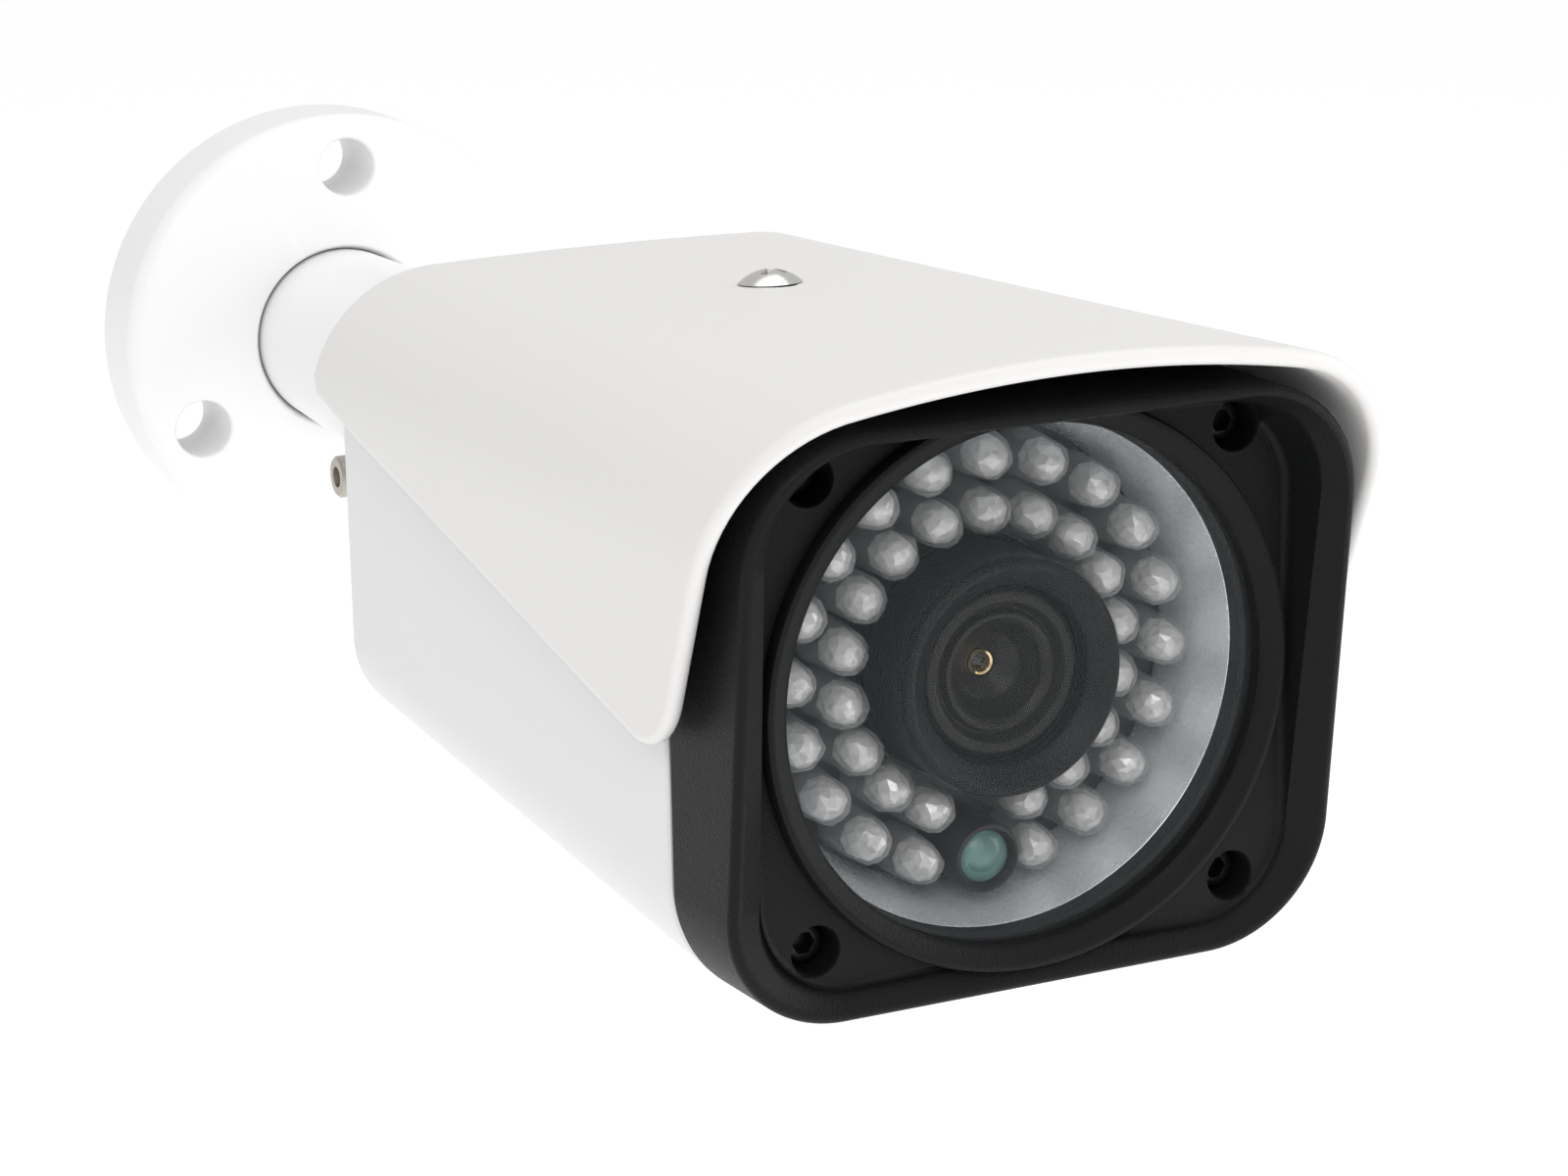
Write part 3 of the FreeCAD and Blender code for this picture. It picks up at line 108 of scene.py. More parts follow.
def eased(points, radius, closed=False, steps=4):
    """The polyline with each corner replaced by a short curve that starts "radius" from it."""
    result = []
    count = len(points)
    for i, spot in enumerate(points):
        here = Vector(spot)
        if not closed and i in (0, count - 1):
            result.append(here)
            continue
        before, after = Vector(points[i - 1]), Vector(points[(i + 1) % count])
        to_before, to_after = before - here, after - here
        reach = min(radius, 0.4 * to_before.length, 0.4 * to_after.length)
        bend = to_before.angle(to_after, math.pi)
        if reach < 0.01 or bend > math.radians(172):
            result.append(here)
            continue
        start, end = here + to_before.normalized() * reach, here + to_after.normalized() * reach
        for k in range(steps + 1):
            t = k / steps
            result.append(start * (1 - t) ** 2 + here * (2 * t * (1 - t)) + end * t ** 2)
    return result


def arc(centre, radius, start, stop, steps):
    """Points on a circle in a profile plane, by angles in degrees."""
    return [(centre[0] + radius * math.cos(math.radians(start + (stop - start) * k / steps)),
             centre[1] + radius * math.sin(math.radians(start + (stop - start) * k / steps)))
            for k in range(steps + 1)]


def loop_faces(mesh, loops, closed=False):
    """Joins loops of equal length into quads, and the last loop to the first if closed."""
    rings = [[mesh.verts.new(p * MM) for p in loop] for loop in loops]
    pairs = list(zip(rings, rings[1:])) + ([(rings[-1], rings[0])] if closed else [])
    for one, two in pairs:
        for i in range(len(one)):
            j = (i + 1) % len(one)
            mesh.faces.new((one[i], one[j], two[j], two[i]))
    if not closed:
        for ring in (rings[0], rings[-1]):
            if (ring[0].co - ring[len(ring) // 2].co).length > 1e-6:
                mesh.faces.new(ring)
    return rings


def lathe(mesh, profile, where, steps=ROUND_STEPS, closed=False, shape=None):
    """Turns a (distance, radius) profile. "shape" may change a radius by (distance, radius, angle)."""
    shape = shape or (lambda d, r, a: r)
    loops = [[where(d, shape(d, r, TURN * k / steps), TURN * k / steps) for k in range(steps)]
             for d, r in profile]
    loop_faces(mesh, loops, closed)


def mark_creases(mesh):
    for face in mesh.faces:
        face.smooth = True
    for edge in mesh.edges:
        edge.smooth = len(edge.link_faces) == 2 and edge.calc_face_angle(0) < SHARP_ANGLE


def tidy(mesh, merge=1e-7):
    bmesh.ops.remove_doubles(mesh, verts=mesh.verts, dist=merge)
    bmesh.ops.dissolve_degenerate(mesh, edges=mesh.edges, dist=1e-8)
    bmesh.ops.recalc_face_normals(mesh, faces=mesh.faces)


def solid(name, build, flat=False):
    """A new object whose mesh is made by build(mesh)."""
    mesh = bmesh.new()
    build(mesh)
    tidy(mesh)
    if not flat:
        mark_creases(mesh)
    data = bpy.data.meshes.new(name)
    mesh.to_mesh(data)
    mesh.free()
    thing = bpy.data.objects.new(name, data)
    bpy.context.scene.collection.objects.link(thing)
    return thing


def settle(thing):
    """Applies the object's modifiers to its mesh."""
    graph = bpy.context.evaluated_depsgraph_get()
    data = bpy.data.meshes.new_from_object(thing.evaluated_get(graph))
    thing.modifiers.clear()
    thing.data = data


def combine(thing, tools, operation="DIFFERENCE"):
    """Cuts the tools away from the object, or joins them to it, and marks its creases again."""
    for tool in tools:
        step = thing.modifiers.new("Combine", "BOOLEAN")
        step.operation = operation
        step.solver = "EXACT"
        step.object = tool
        settle(thing)
        bpy.data.objects.remove(tool)
    mesh = bmesh.new()
    mesh.from_mesh(thing.data)
    tidy(mesh, 2e-7)
    mark_creases(mesh)
    mesh.to_mesh(thing.data)
    mesh.free()
    return thing


def join(name, parts):
    """One object of several separate closed pieces."""
    mesh = bmesh.new()
    for part in parts:
        mesh.from_mesh(part.data)
        bpy.data.objects.remove(part)
    data = bpy.data.meshes.new(name)
    mesh.to_mesh(data)
    mesh.free()
    thing = bpy.data.objects.new(name, data)
    bpy.context.scene.collection.objects.link(thing)
    return thing


def dress(thing, body, slot, material, *nodes, even=True):
    """Gives a piece its material and body, and hides the CAD nodes it stands for."""
    if even:
        step = thing.modifiers.new("Even shading", "WEIGHTED_NORMAL")
        step.keep_sharp = True
        settle(thing)
    thing.data.materials.clear()
    thing.data.materials.append(material)
    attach(thing, body)
    if nodes:
        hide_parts(*nodes)
    return thing


def box_piece(name, size, centre):
    """A cutting block. Its centre is a place (x, out, z)."""
    def build(mesh):
        bmesh.ops.create_cube(mesh, size=1)
        x, out, z = centre
        bmesh.ops.scale(mesh, vec=Vector(size) * MM, verts=mesh.verts)
        bmesh.ops.translate(mesh, vec=Vector((x, -out, z)) * MM, verts=mesh.verts)
    return solid(name, build)


def rounded_outline(half_width, low, top, corner, steps=18):
    """A rounded box as (x, z) points, anticlockwise from the right-hand side."""
    points = []
    for side, up, start in ((1, 1, 0), (-1, 1, 90), (-1, -1, 180), (1, -1, 270)):
        centre = (side * (half_width - corner), (top if up > 0 else low) - up * corner)
        points += arc(centre, corner, start, start + 90, steps)
    return points


def outline_loop(outline, out):
    """Places for an outline; "out" is a number or a function of z."""
    reach = out if callable(out) else (lambda z: out)
    return [Vector((x, -reach(z), z)) for x, z in outline]


# ---------------------------------------------------------------- materials

def node_group(name, inputs, outputs):
    """An empty shader group with named sockets. An input is (name, kind, default)."""
    group = bpy.data.node_groups.new(name, "ShaderNodeTree")
    for title, kind, default in inputs:
        socket = group.interface.new_socket(name=title, in_out="INPUT", socket_type=kind)
        socket.default_value = default
    for title, kind in outputs:
        group.interface.new_socket(name=title, in_out="OUTPUT", socket_type=kind)
    return group, group.nodes.new("NodeGroupInput"), group.nodes.new("NodeGroupOutput")


def add(tree, kind, links=None, **settings):
    """A node with its settings and its linked or plain input values."""
    node = tree.nodes.new(kind)
    for name, setting in settings.items():
        setattr(node, name, setting)
    for name, source in (links or {}).items():
        if isinstance(source, bpy.types.NodeSocket):
            tree.links.new(source, node.inputs[name])
        else:
            node.inputs[name].default_value = source
    return node


def object_place(tree):
    return add(tree, "ShaderNodeTexCoord").outputs["Object"]


def grain_group():
    """Fine cast or sprayed grain: a bump normal and the grain's own mask."""
    group, given, result = node_group(
        "Fine grain",
        [("Scale", "NodeSocketFloat", 2500.0), ("Depth", "NodeSocketFloat", 0.2),
         ("Reach", "NodeSocketFloat", 0.0001)],
        [("Normal", "NodeSocketVector"), ("Mask", "NodeSocketFloat")])
    place = object_place(group)
    scale = given.outputs["Scale"]
    cells = add(group, "ShaderNodeTexVoronoi", {"Vector": place, "Scale": scale}, feature="SMOOTH_F1")
    dust = add(group, "ShaderNodeTexNoise", {"Vector": place, "Scale": scale, "Detail": 3.0})
    height = add(group, "ShaderNodeMath", {0: cells.outputs["Distance"], 1: dust.outputs["Fac"]},
                 operation="ADD")
    bump = add(group, "ShaderNodeBump", {"Strength": given.outputs["Depth"],
                                         "Distance": given.outputs["Reach"],
                                         "Height": height.outputs[0]})
    group.links.new(bump.outputs["Normal"], result.inputs["Normal"])
    group.links.new(dust.outputs["Fac"], result.inputs["Mask"])
    return group


def tone_and_highlight_group():
    """Slow drift of a colour over the surface, with a little painted highlight on raised edges."""
    group, given, result = node_group(
        "Tone drift",
        [("Colour", "NodeSocketColor", (1, 1, 1, 1)), ("Shade", "NodeSocketColor", (0, 0, 0, 1)),
         ("Edge", "NodeSocketColor", (1, 1, 1, 1)), ("Scale", "NodeSocketFloat", 20.0),
         ("Amount", "NodeSocketFloat", 0.3), ("Edge amount", "NodeSocketFloat", 0.2)],
        [("Colour", "NodeSocketColor"), ("Drift", "NodeSocketFloat")])
    place = object_place(group)
    drift = add(group, "ShaderNodeTexNoise", {"Vector": place, "Scale": given.outputs["Scale"],
                                              "Detail": 4.0, "Roughness": 0.55})
    share = add(group, "ShaderNodeMath", {0: drift.outputs["Fac"], 1: given.outputs["Amount"]},
                operation="MULTIPLY")
    mixed = add(group, "ShaderNodeMix", {"Factor": share.outputs[0], "A": given.outputs["Colour"],
                                         "B": given.outputs["Shade"]}, data_type="RGBA")
    # painted highlight: the Edge colour is mixed in where the surface is pointed, on raised edges
    pointed = add(group, "ShaderNodeNewGeometry").outputs["Pointiness"]
    raised = add(group, "ShaderNodeMapRange", {"Value": pointed, "From Min": 0.52, "From Max": 0.62})
    edge = add(group, "ShaderNodeMath", {0: raised.outputs["Result"], 1: given.outputs["Edge amount"]},
               operation="MULTIPLY")
    final = add(group, "ShaderNodeMix", {"Factor": edge.outputs[0], "A": mixed.outputs["Result"],
                                         "B": given.outputs["Edge"]}, data_type="RGBA")
    group.links.new(final.outputs["Result"], result.inputs["Colour"])
    group.links.new(drift.outputs["Fac"], result.inputs["Drift"])
    return group


def brushed_group():
    """Fine lines along one axis, as turning or brushing leaves on metal."""
    group, given, result = node_group(
        "Brushed lines",
        [("Stretch", "NodeSocketVector", (1.0, 40.0, 1.0)), ("Scale", "NodeSocketFloat", 300.0),
         ("Depth", "NodeSocketFloat", 0.1)],
        [("Normal", "NodeSocketVector"), ("Mask", "NodeSocketFloat")])
    scaled = add(group, "ShaderNodeVectorMath", {0: object_place(group), 1: given.outputs["Stretch"]},
                 operation="MULTIPLY")
    lines = add(group, "ShaderNodeTexNoise", {"Vector": scaled.outputs[0], "Scale": given.outputs["Scale"],
                                              "Detail": 4.0})
    bump = add(group, "ShaderNodeBump", {"Strength": given.outputs["Depth"], "Distance": 0.00005,
                                         "Height": lines.outputs["Fac"]})
    group.links.new(bump.outputs["Normal"], result.inputs["Normal"])
    group.links.new(lines.outputs["Fac"], result.inputs["Mask"])
    return group


GRAIN, TONE_AND_HIGHLIGHT, BRUSHED = grain_group(), tone_and_highlight_group(), brushed_group()


BLACK_DRIFT = {"tone_scale": 60.0, "tone_amount": 0.5}


def grey(level, warm=0.0):
    """A neutral colour, warmer above zero and cooler below."""
    return (level * (1 + warm), level, level * (1 - warm), 1.0)


def surface(name, colour, shade, roughness, rough_spread=0.06, grain=2500.0, depth=0.15, edge=None,
            edge_highlight_amount=0.15, tone_scale=25.0, tone_amount=0.35, lines=False, **shader):
    """A principled material with drifting colour, a painted highlight on raised edges, grain in its bump and
    uneven roughness.
    """
    material = bpy.data.materials.new(name)
    material.use_nodes = True
    tree = material.node_tree
    tree.nodes.clear()
    final = add(tree, "ShaderNodeOutputMaterial")
    body = add(tree, "ShaderNodeBsdfPrincipled")
    tone = add(tree, "ShaderNodeGroup", node_tree=TONE_AND_HIGHLIGHT)
    # the edge colour and its amount paint a highlight on raised edges
    for title, amount in (("Colour", colour), ("Shade", shade), ("Edge", edge or colour),
                          ("Scale", tone_scale), ("Amount", tone_amount), ("Edge amount", edge_highlight_amount)):
        tone.inputs[title].default_value = amount
    texture = add(tree, "ShaderNodeGroup", node_tree=BRUSHED if lines else GRAIN)
    texture.inputs["Depth"].default_value = depth
    texture.inputs["Scale"].default_value = grain
    rough = add(tree, "ShaderNodeMapRange", {"Value": texture.outputs["Mask"],
                                             "To Min": roughness - rough_spread,
                                             "To Max": roughness + rough_spread})
    tree.links.new(tone.outputs["Colour"], body.inputs["Base Color"])
    tree.links.new(rough.outputs["Result"], body.inputs["Roughness"])
    tree.links.new(texture.outputs["Normal"], body.inputs["Normal"])
    for title, amount in shader.items():
        body.inputs[title.replace("_", " ")].default_value = amount
    tree.links.new(body.outputs[0], final.inputs["Surface"])
    return material


def painted_finishes():
    # the edge colours here are painted highlights on raised edges
    return {
        "white_paint": surface(
            "White powder coat", grey(0.735, -0.002), grey(0.71, -0.002), 0.42, grain=2600,
            depth=0.05, edge=grey(0.88), Specular_IOR_Level=0.45),
        # painted light: the same white powder coat as white_paint, made lighter for the plate and arm, whose
        # faces catch the front light
        "plate_paint": surface(
            "Bright white powder coat", grey(0.85, 0.002), grey(0.82, 0.002), 0.4, grain=2600,
            depth=0.05, edge=grey(0.97), Specular_IOR_Level=0.5),
        "hood_paint": surface(
            "Warm white powder coat", grey(0.745, 0.012), grey(0.72, 0.014), 0.45, grain=2600,
            depth=0.06, edge=grey(0.86), Specular_IOR_Level=0.4),
        "black_coat": surface(
            "Textured black coat", grey(0.008, -0.06), grey(0.006, -0.06), 0.46, 0.1, 3600, 0.4,
            grey(0.02, -0.05), 0.4, Specular_IOR_Level=0.12, **BLACK_DRIFT),
    }


def metal_finishes():
    return {
        "zinc_steel": surface(
            "Zinc plated steel", (0.46, 0.43, 0.39, 1), (0.33, 0.30, 0.27, 1), 0.38, 0.08, 500, 0.15,
            lines=True, Metallic=1.0),
        "bright_nickel": surface(
            "Bright nickel", (0.72, 0.71, 0.69, 1), (0.55, 0.54, 0.52, 1), 0.2, 0.06, 700, 0.12,
            lines=True, Metallic=1.0),
        "black_screw": surface(
            "Black oxide steel", grey(0.012), grey(0.022, 0.05), 0.3, 0.08, 2500, 0.15,
            Metallic=0.6, **BLACK_DRIFT),
        "dark_anodised": surface(
            "Dark anodised aluminium", grey(0.010, 0.08), grey(0.007, 0.10), 0.36, 0.08, 5200, 0.2,
            Specular_IOR_Level=0.2, **BLACK_DRIFT),
        "gold_rim": surface(
            "Gilt rim", (0.85, 0.66, 0.36, 1), (0.62, 0.45, 0.22, 1), 0.16, 0.05, 900, 0.1, Metallic=1.0),
        "copper_coil": surface(
            "Enamelled copper", (0.48, 0.20, 0.09, 1), (0.34, 0.12, 0.05, 1), 0.3, 0.06, 900, 0.2,
            lines=True, Metallic=0.9),
        "brass_pillar": surface(
            "Brass", (0.66, 0.50, 0.24, 1), (0.50, 0.36, 0.15, 1), 0.28, 0.08, 700, 0.1,
            lines=True, Metallic=1.0),
    }


def moulded_finishes():
    return {
        # the edge colours of both rubbers are painted highlights on raised edges
        "black_rubber": surface(
            "Black rubber", grey(0.010, -0.06), grey(0.006, -0.06), 0.55, 0.12, 3000, 0.3,
            grey(0.02), 0.3, **BLACK_DRIFT),
        "shroud_rubber": surface(
            "Grained black rubber", grey(0.005, -0.05), grey(0.003, -0.05), 0.34, 0.12, 3400, 0.6,
            grey(0.02), 0.3, Specular_IOR_Level=0.15, **BLACK_DRIFT),
        "nylon": surface(
            "Natural nylon", (0.70, 0.68, 0.61, 1), (0.62, 0.59, 0.52, 1), 0.5, depth=0.1),
        "pale_reflector": surface(
            "Pale grey moulding", (0.90, 0.93, 0.95, 1), (0.80, 0.84, 0.87, 1), 0.26, 0.08, 1800, 0.08,
            Metallic=0.45),
        "black_plastic": surface(
            "Black moulding", grey(0.012), grey(0.008), 0.5, 0.08, 1500, 0.2, **BLACK_DRIFT),
    }


def circuit_finishes():
    return {
        "black_board": surface(
            "Black circuit board", grey(0.008, -0.08), (0.012, 0.014, 0.018, 1), 0.32, 0.1, 1500, 0.25,
            **BLACK_DRIFT),
        "green_board": surface(
            "Green circuit board", (0.012, 0.10, 0.04, 1), (0.02, 0.16, 0.07, 1), 0.35, 0.1, 900, 0.2),
        "sensor_die": surface(
            "Sensor package", (0.02, 0.022, 0.03, 1), (0.05, 0.03, 0.06, 1), 0.15, 0.04, 600, 0.1),
        "chip_black": surface("Chip package", grey(0.014), grey(0.02), 0.55, 0.08, 1800, 0.25),
    }


def light_and_glass_finishes():
    return {
        # the silver stands for each light's reflector; its strong light and dark mottling is painted glints
        # and darker facets
        "led_core": surface(
            "Silvered light core", (0.95, 0.945, 0.93, 1), (0.42, 0.41, 0.40, 1), 0.24, 0.08, 1200, 0.5,
            tone_scale=620.0, tone_amount=0.9, Metallic=0.3),
        "clear_led": thin_clear("Clear epoxy", (0.52, 0.53, 0.54, 1), 0.10, 0.75, 0.3),
        "sensor_tint": clear("Green tinted epoxy", (0.62, 0.80, 0.78, 1), 0.12, 1.45),
        "eye_bed": surface(
            "Pale green bed", (0.24, 0.37, 0.36, 1), (0.46, 0.56, 0.54, 1), 0.4, 0.1, 900, 0.2,
            tone_scale=380.0, tone_amount=1.3),
        "coated_glass": clear("Coated lens glass", (0.20, 0.24, 0.32, 1), 0.03, 1.5),
        "clear_glass": thin_clear("Clear flat glass", (0.30, 0.33, 0.35, 1), 0.012, 0.5, 0.12),
    }


def clear(name, colour, roughness, ior):
    """Solid clear resin or glass with faint flow marks in its surface."""
    material = bpy.data.materials.new(name)
    material.use_nodes = True
    tree = material.node_tree
    tree.nodes.clear()
    final = add(tree, "ShaderNodeOutputMaterial")
    body = add(tree, "ShaderNodeBsdfPrincipled", {"Base Color": colour, "IOR": ior,
                                                  "Transmission Weight": 1.0})
    texture = add(tree, "ShaderNodeGroup", node_tree=GRAIN)
    texture.inputs["Scale"].default_value = 420.0
    texture.inputs["Depth"].default_value = 0.12
    rough = add(tree, "ShaderNodeMapRange", {"Value": texture.outputs["Mask"],
                                             "To Min": max(0.0, roughness - 0.02),
                                             "To Max": roughness + 0.03})
    tree.links.new(rough.outputs["Result"], body.inputs["Roughness"])
    tree.links.new(texture.outputs["Normal"], body.inputs["Normal"])
    tree.links.new(body.outputs[0], final.inputs["Surface"])
    return material


def thin_clear(name, colour, facing_alpha, edge_alpha, blend, roughness=0.08):
    """A thin clear skin: it lets light straight through, more of it face on than at its edges."""
    material = bpy.data.materials.new(name)
    material.use_nodes = True
    tree = material.node_tree
    tree.nodes.clear()
    final = add(tree, "ShaderNodeOutputMaterial")
    body = add(tree, "ShaderNodeBsdfPrincipled", {"Base Color": colour, "IOR": 1.5})
    smear = add(tree, "ShaderNodeTexNoise", {"Vector": object_place(tree), "Scale": 60.0, "Detail": 5.0})
    rough = add(tree, "ShaderNodeMapRange", {"Value": smear.outputs["Fac"], "To Min": roughness * 0.2,
                                             "To Max": roughness})
    facing = add(tree, "ShaderNodeLayerWeight", {"Blend": blend})
    veil = add(tree, "ShaderNodeMapRange", {"Value": facing.outputs["Facing"], "To Min": facing_alpha,
                                            "To Max": edge_alpha})
    tree.links.new(rough.outputs["Result"], body.inputs["Roughness"])
    tree.links.new(veil.outputs["Result"], body.inputs["Alpha"])
    tree.links.new(body.outputs[0], final.inputs["Surface"])
    return material


FINISH = {**painted_finishes(), **metal_finishes(), **moulded_finishes(), **circuit_finishes(),
          **light_and_glass_finishes()}


# ---------------------------------------------------------------- plate and bracket arm

JOURNAL_RADIUS = 11.9                   # the arm's round boss, inside the plate
JOURNAL_GAP = 0.05
PLATE_GROOVE = (0.6, 1.5)               # width and depth of the shadow line round the arm
PLATE_RECESS_RADIUS = 17.5              # the hollow in the plate's back
PLATE_WEB = (3.5, 6.0)                  # where the web that carries the arm starts and ends
SPIGOT_RADIUS = 9.6
ARM_FRONT_RADIUS = 12.8
CORE_RADIUS = 7.2
HOLE_TURN = math.radians(3)             # the plate was screwed on a little turned
SET_SCREW_OUT, SET_SCREW_BORE = 9.3, 2.1
SOFT_EDGE = 0.35                        # small edge rounding on cast pieces
BALL_OUT = 44.0                         # the ball joint's centre
SOCKET_RADIUS, BALL_RADIUS = 7.55, 7.45
SOCKET_LIP = 20.0                       # how far past its middle the socket holds the ball, in degrees
CLAMP_EAR_RADIUS, CLAMP_EAR_REACH = 3.6, 10.0
SPLIT_WIDTH, SPLIT_LENGTH, SPLIT_TALL = 2.2, 14.2, 18.0
SPLIT_TOP = -5.25                       # the split starts this far below the ball's centre


def wall_plate():
    bore = JOURNAL_RADIUS + JOURNAL_GAP
    spigot_bore = SPIGOT_RADIUS + JOURNAL_GAP
    web_back, web_front = PLATE_WEB
    edge = 2.5
    profile = [(0, PLATE_RECESS_RADIUS), (0, PLATE.right)]
    profile += arc((PLATE.front - edge, PLATE.right - edge), edge, 90, 0, 10)
    profile += [(PLATE.front, bore + PLATE_GROOVE[0]), (PLATE.front - PLATE_GROOVE[1], bore),
                (web_front, bore), (web_front, spigot_bore), (web_back, spigot_bore),
                (web_back, PLATE_RECESS_RADIUS)]
    plate = solid("plate", lambda m: lathe(m, eased(profile, SOFT_EDGE, True), turned_y(), 192, True))
    hole_radius, circle = WALL_HOLES["hole_r_mm"], WALL_HOLES["pcd_mm"] / 2
    cutters = []
    for k in range(WALL_HOLES["count"]):
        angle = TURN * (0.25 + k / WALL_HOLES["count"]) - HOLE_TURN
        where = turned_y(circle * math.cos(angle), circle * math.sin(angle))
        flare = [(-1, 0), (-1, hole_radius), (PLATE.front - 0.5, hole_radius),
                 (PLATE.front - 0.15, hole_radius + 0.15), (PLATE.front + 0.3, hole_radius + 0.7),
                 (PLATE.front + 0.3, 0)]
        cutters.append(solid("hole", lambda m, w=where, f=flare: lathe(m, f, w, 64)))
    screw_hole = turned_up(0, SET_SCREW_OUT)
    below, above = PLATE.low - 2, -bore + 0.6
    cutters.append(solid("side_hole", lambda m: lathe(
        m, [(below, 0), (below, SET_SCREW_BORE), (above, SET_SCREW_BORE), (above, 0)], screw_hole,
        SMALL_STEPS)))
    combine(plate, cutters)
    dress(plate, "mount", "white_paint", FINISH["plate_paint"], "wall_plate")


def bracket_arm():
    mouth = [(ARM.front, SOCKET_RADIUS * math.cos(math.radians(SOCKET_LIP)) + 2.5)]
    socket = arc((BALL_OUT, 0), SOCKET_RADIUS, SOCKET_LIP, 180, 24)
    neck_end = [(ARM.front, ARM_FRONT_RADIUS - 1.2), (ARM.front - 1.2, ARM_FRONT_RADIUS)]
    clip = SPIGOT_RADIUS - 0.9
    core_end, shoulder = 30.0, PLATE_WEB[1] + JOURNAL_GAP
    clip_back, clip_front = 1.6, 2.7
    outside = [(core_end, 0), (core_end, CORE_RADIUS), (ARM.back, CORE_RADIUS), (ARM.back, SPIGOT_RADIUS),
               (clip_back, SPIGOT_RADIUS), (clip_back, clip), (clip_front, clip),
               (clip_front, SPIGOT_RADIUS), (shoulder, SPIGOT_RADIUS), (shoulder, JOURNAL_RADIUS),
               (PLATE.front, JOURNAL_RADIUS)] + neck_end[::-1] + mouth
    profile = eased(outside, 0.9) + [Vector(p) for p in socket]
    arm = solid("arm", lambda m: lathe(m, profile, turned_y(), ROUND_STEPS))
    clamp = Extent("clamp_screw")
    ear = turned_x(BALL_OUT, clamp.middle.z)
    reach, rim = CLAMP_EAR_REACH, CLAMP_EAR_RADIUS
    ears = [(-reach, 0), (-reach, rim - 0.4), (-reach + 0.4, rim), (reach - 0.4, rim), (reach, rim - 0.4),
            (reach, 0)]
    combine(arm, [solid("ears", lambda m: lathe(m, eased(ears, 0.4), ear, 64))], "UNION")
    # the union would fill the ball's cavity with the ears, so the ball is cut again
    combine(arm, [
        solid("cavity", lambda m: lathe(m, arc((BALL_OUT, 0), SOCKET_RADIUS, 0, 180, 32), turned_y(), 96)),
        box_piece("split", (SPLIT_WIDTH, SPLIT_LENGTH, SPLIT_TALL),
                  (0, ARM.front - 6.9, SPLIT_TOP - SPLIT_TALL / 2)),
        solid("bolt_hole", lambda m: lathe(
            m, [(-20, 0), (-20, 2.05), (20, 2.05), (20, 0)], ear, SMALL_STEPS)),
    ])
    dress(arm, "arm", "white_paint", FINISH["plate_paint"], "bracket_arm")


def clamp_fixings():
    """The screw across the socket's split, with its plain round head on the camera's right side."""
    screw = Extent("clamp_screw")
    nut = Extent("clamp_nut")
    where = turned_x(BALL_OUT, screw.middle.z)
    head, height, shank = 2.7, 3.0, 2.0
    start = screw.left
    profile = [(start + 1.6, 0), (start + 1.6, 1.2), (start, 1.35), (start, head - 0.3), (start + 0.3, head),
               (start + height - 0.2, head), (start + height, head - 0.2), (start + height, shank)]
    thread_end = screw.right
    pitch = 0.7
    turns = int((thread_end - nut.left) / pitch)
    for k in range(turns * 2 + 1):
        profile.append((nut.left + k * pitch / 2, shank if k % 2 else shank - 0.18))
    profile += [(thread_end, shank - 0.4), (thread_end, 0)]
    bolt = solid("clamp_bolt", lambda m: lathe(m, profile, where, SMALL_STEPS))
    dress(bolt, "arm", "zinc_steel", FINISH["zinc_steel"], "clamp_screw")
    across = nut.top - screw.middle.z
    collar = solid("hex_nut", lambda m: hex_block(m, nut.left, nut.right, across, 2.05, where))
    dress(collar, "arm", "zinc_steel", FINISH["zinc_steel"], "clamp_nut")


def hexagon(radius, angle, turn=0.0):
    """The distance to a hexagon's side at an angle, for a hexagon of that corner radius."""
    part = (angle + turn) % (TURN / 6) - TURN / 12
    return radius * math.cos(TURN / 12) / math.cos(part)


def hex_block(mesh, start, end, corner, bore, where):
    """A hexagonal nut with chamfered corners and a plain bore."""
    flat = corner * math.cos(TURN / 12)
    profile = [(start, bore), (start, flat - 0.15), (start + 0.45, corner), (end - 0.45, corner),
               (end, flat - 0.15), (end, bore)]

    def shape(d, r, a):
        return min(r, hexagon(corner, a)) if r > bore + 0.01 else r
    lathe(mesh, profile, where, 96, True, shape)


def stud_and_nut():
    neck, flange, thread = 4.2, 6.4, 5.0
    collar = LOCK_NUT.back - 0.25
    profile = arc((BALL_OUT, 0), BALL_RADIUS, 180, math.degrees(math.asin(neck / BALL_RADIUS)), 28)
    profile += [(collar - 2, neck), (collar - 2, flange), (collar, flange), (collar, thread)]
    pitch = 1.25
    for k in range(int((STUD.front - 1 - collar) / pitch * 2)):
        profile.append((collar + 0.3 + k * pitch / 2, thread if k % 2 else thread - 0.25))
    profile += [(STUD.front, 4.4), (STUD.front, 0)]
    stud = solid("stud", lambda m: lathe(m, profile, turned_y(), 96))
    dress(stud, "stud", "zinc_steel", FINISH["zinc_steel"], "ball_stud")

    rim = LOCK_NUT.right
    grip = [(LOCK_NUT.back, 5.1), (LOCK_NUT.back, rim), (LOCK_NUT.front, rim), (LOCK_NUT.front, 5.1)]

    def knurled(d, r, a):
        return r - 0.9 * max(0.0, math.cos(8 * a)) ** 6 * (r > 7)
    nut = solid("lock_nut", lambda m: lathe(m, eased(grip, 0.5, True), turned_y(), 192, True, knurled))
    dress(nut, "camera", "white_paint", FINISH["white_paint"], "neck_lock_nut")


# ---------------------------------------------------------------- rear cap and housing

WALL = 2.2
BACK_CORNER, FRONT_CORNER = 10.0, 13.0


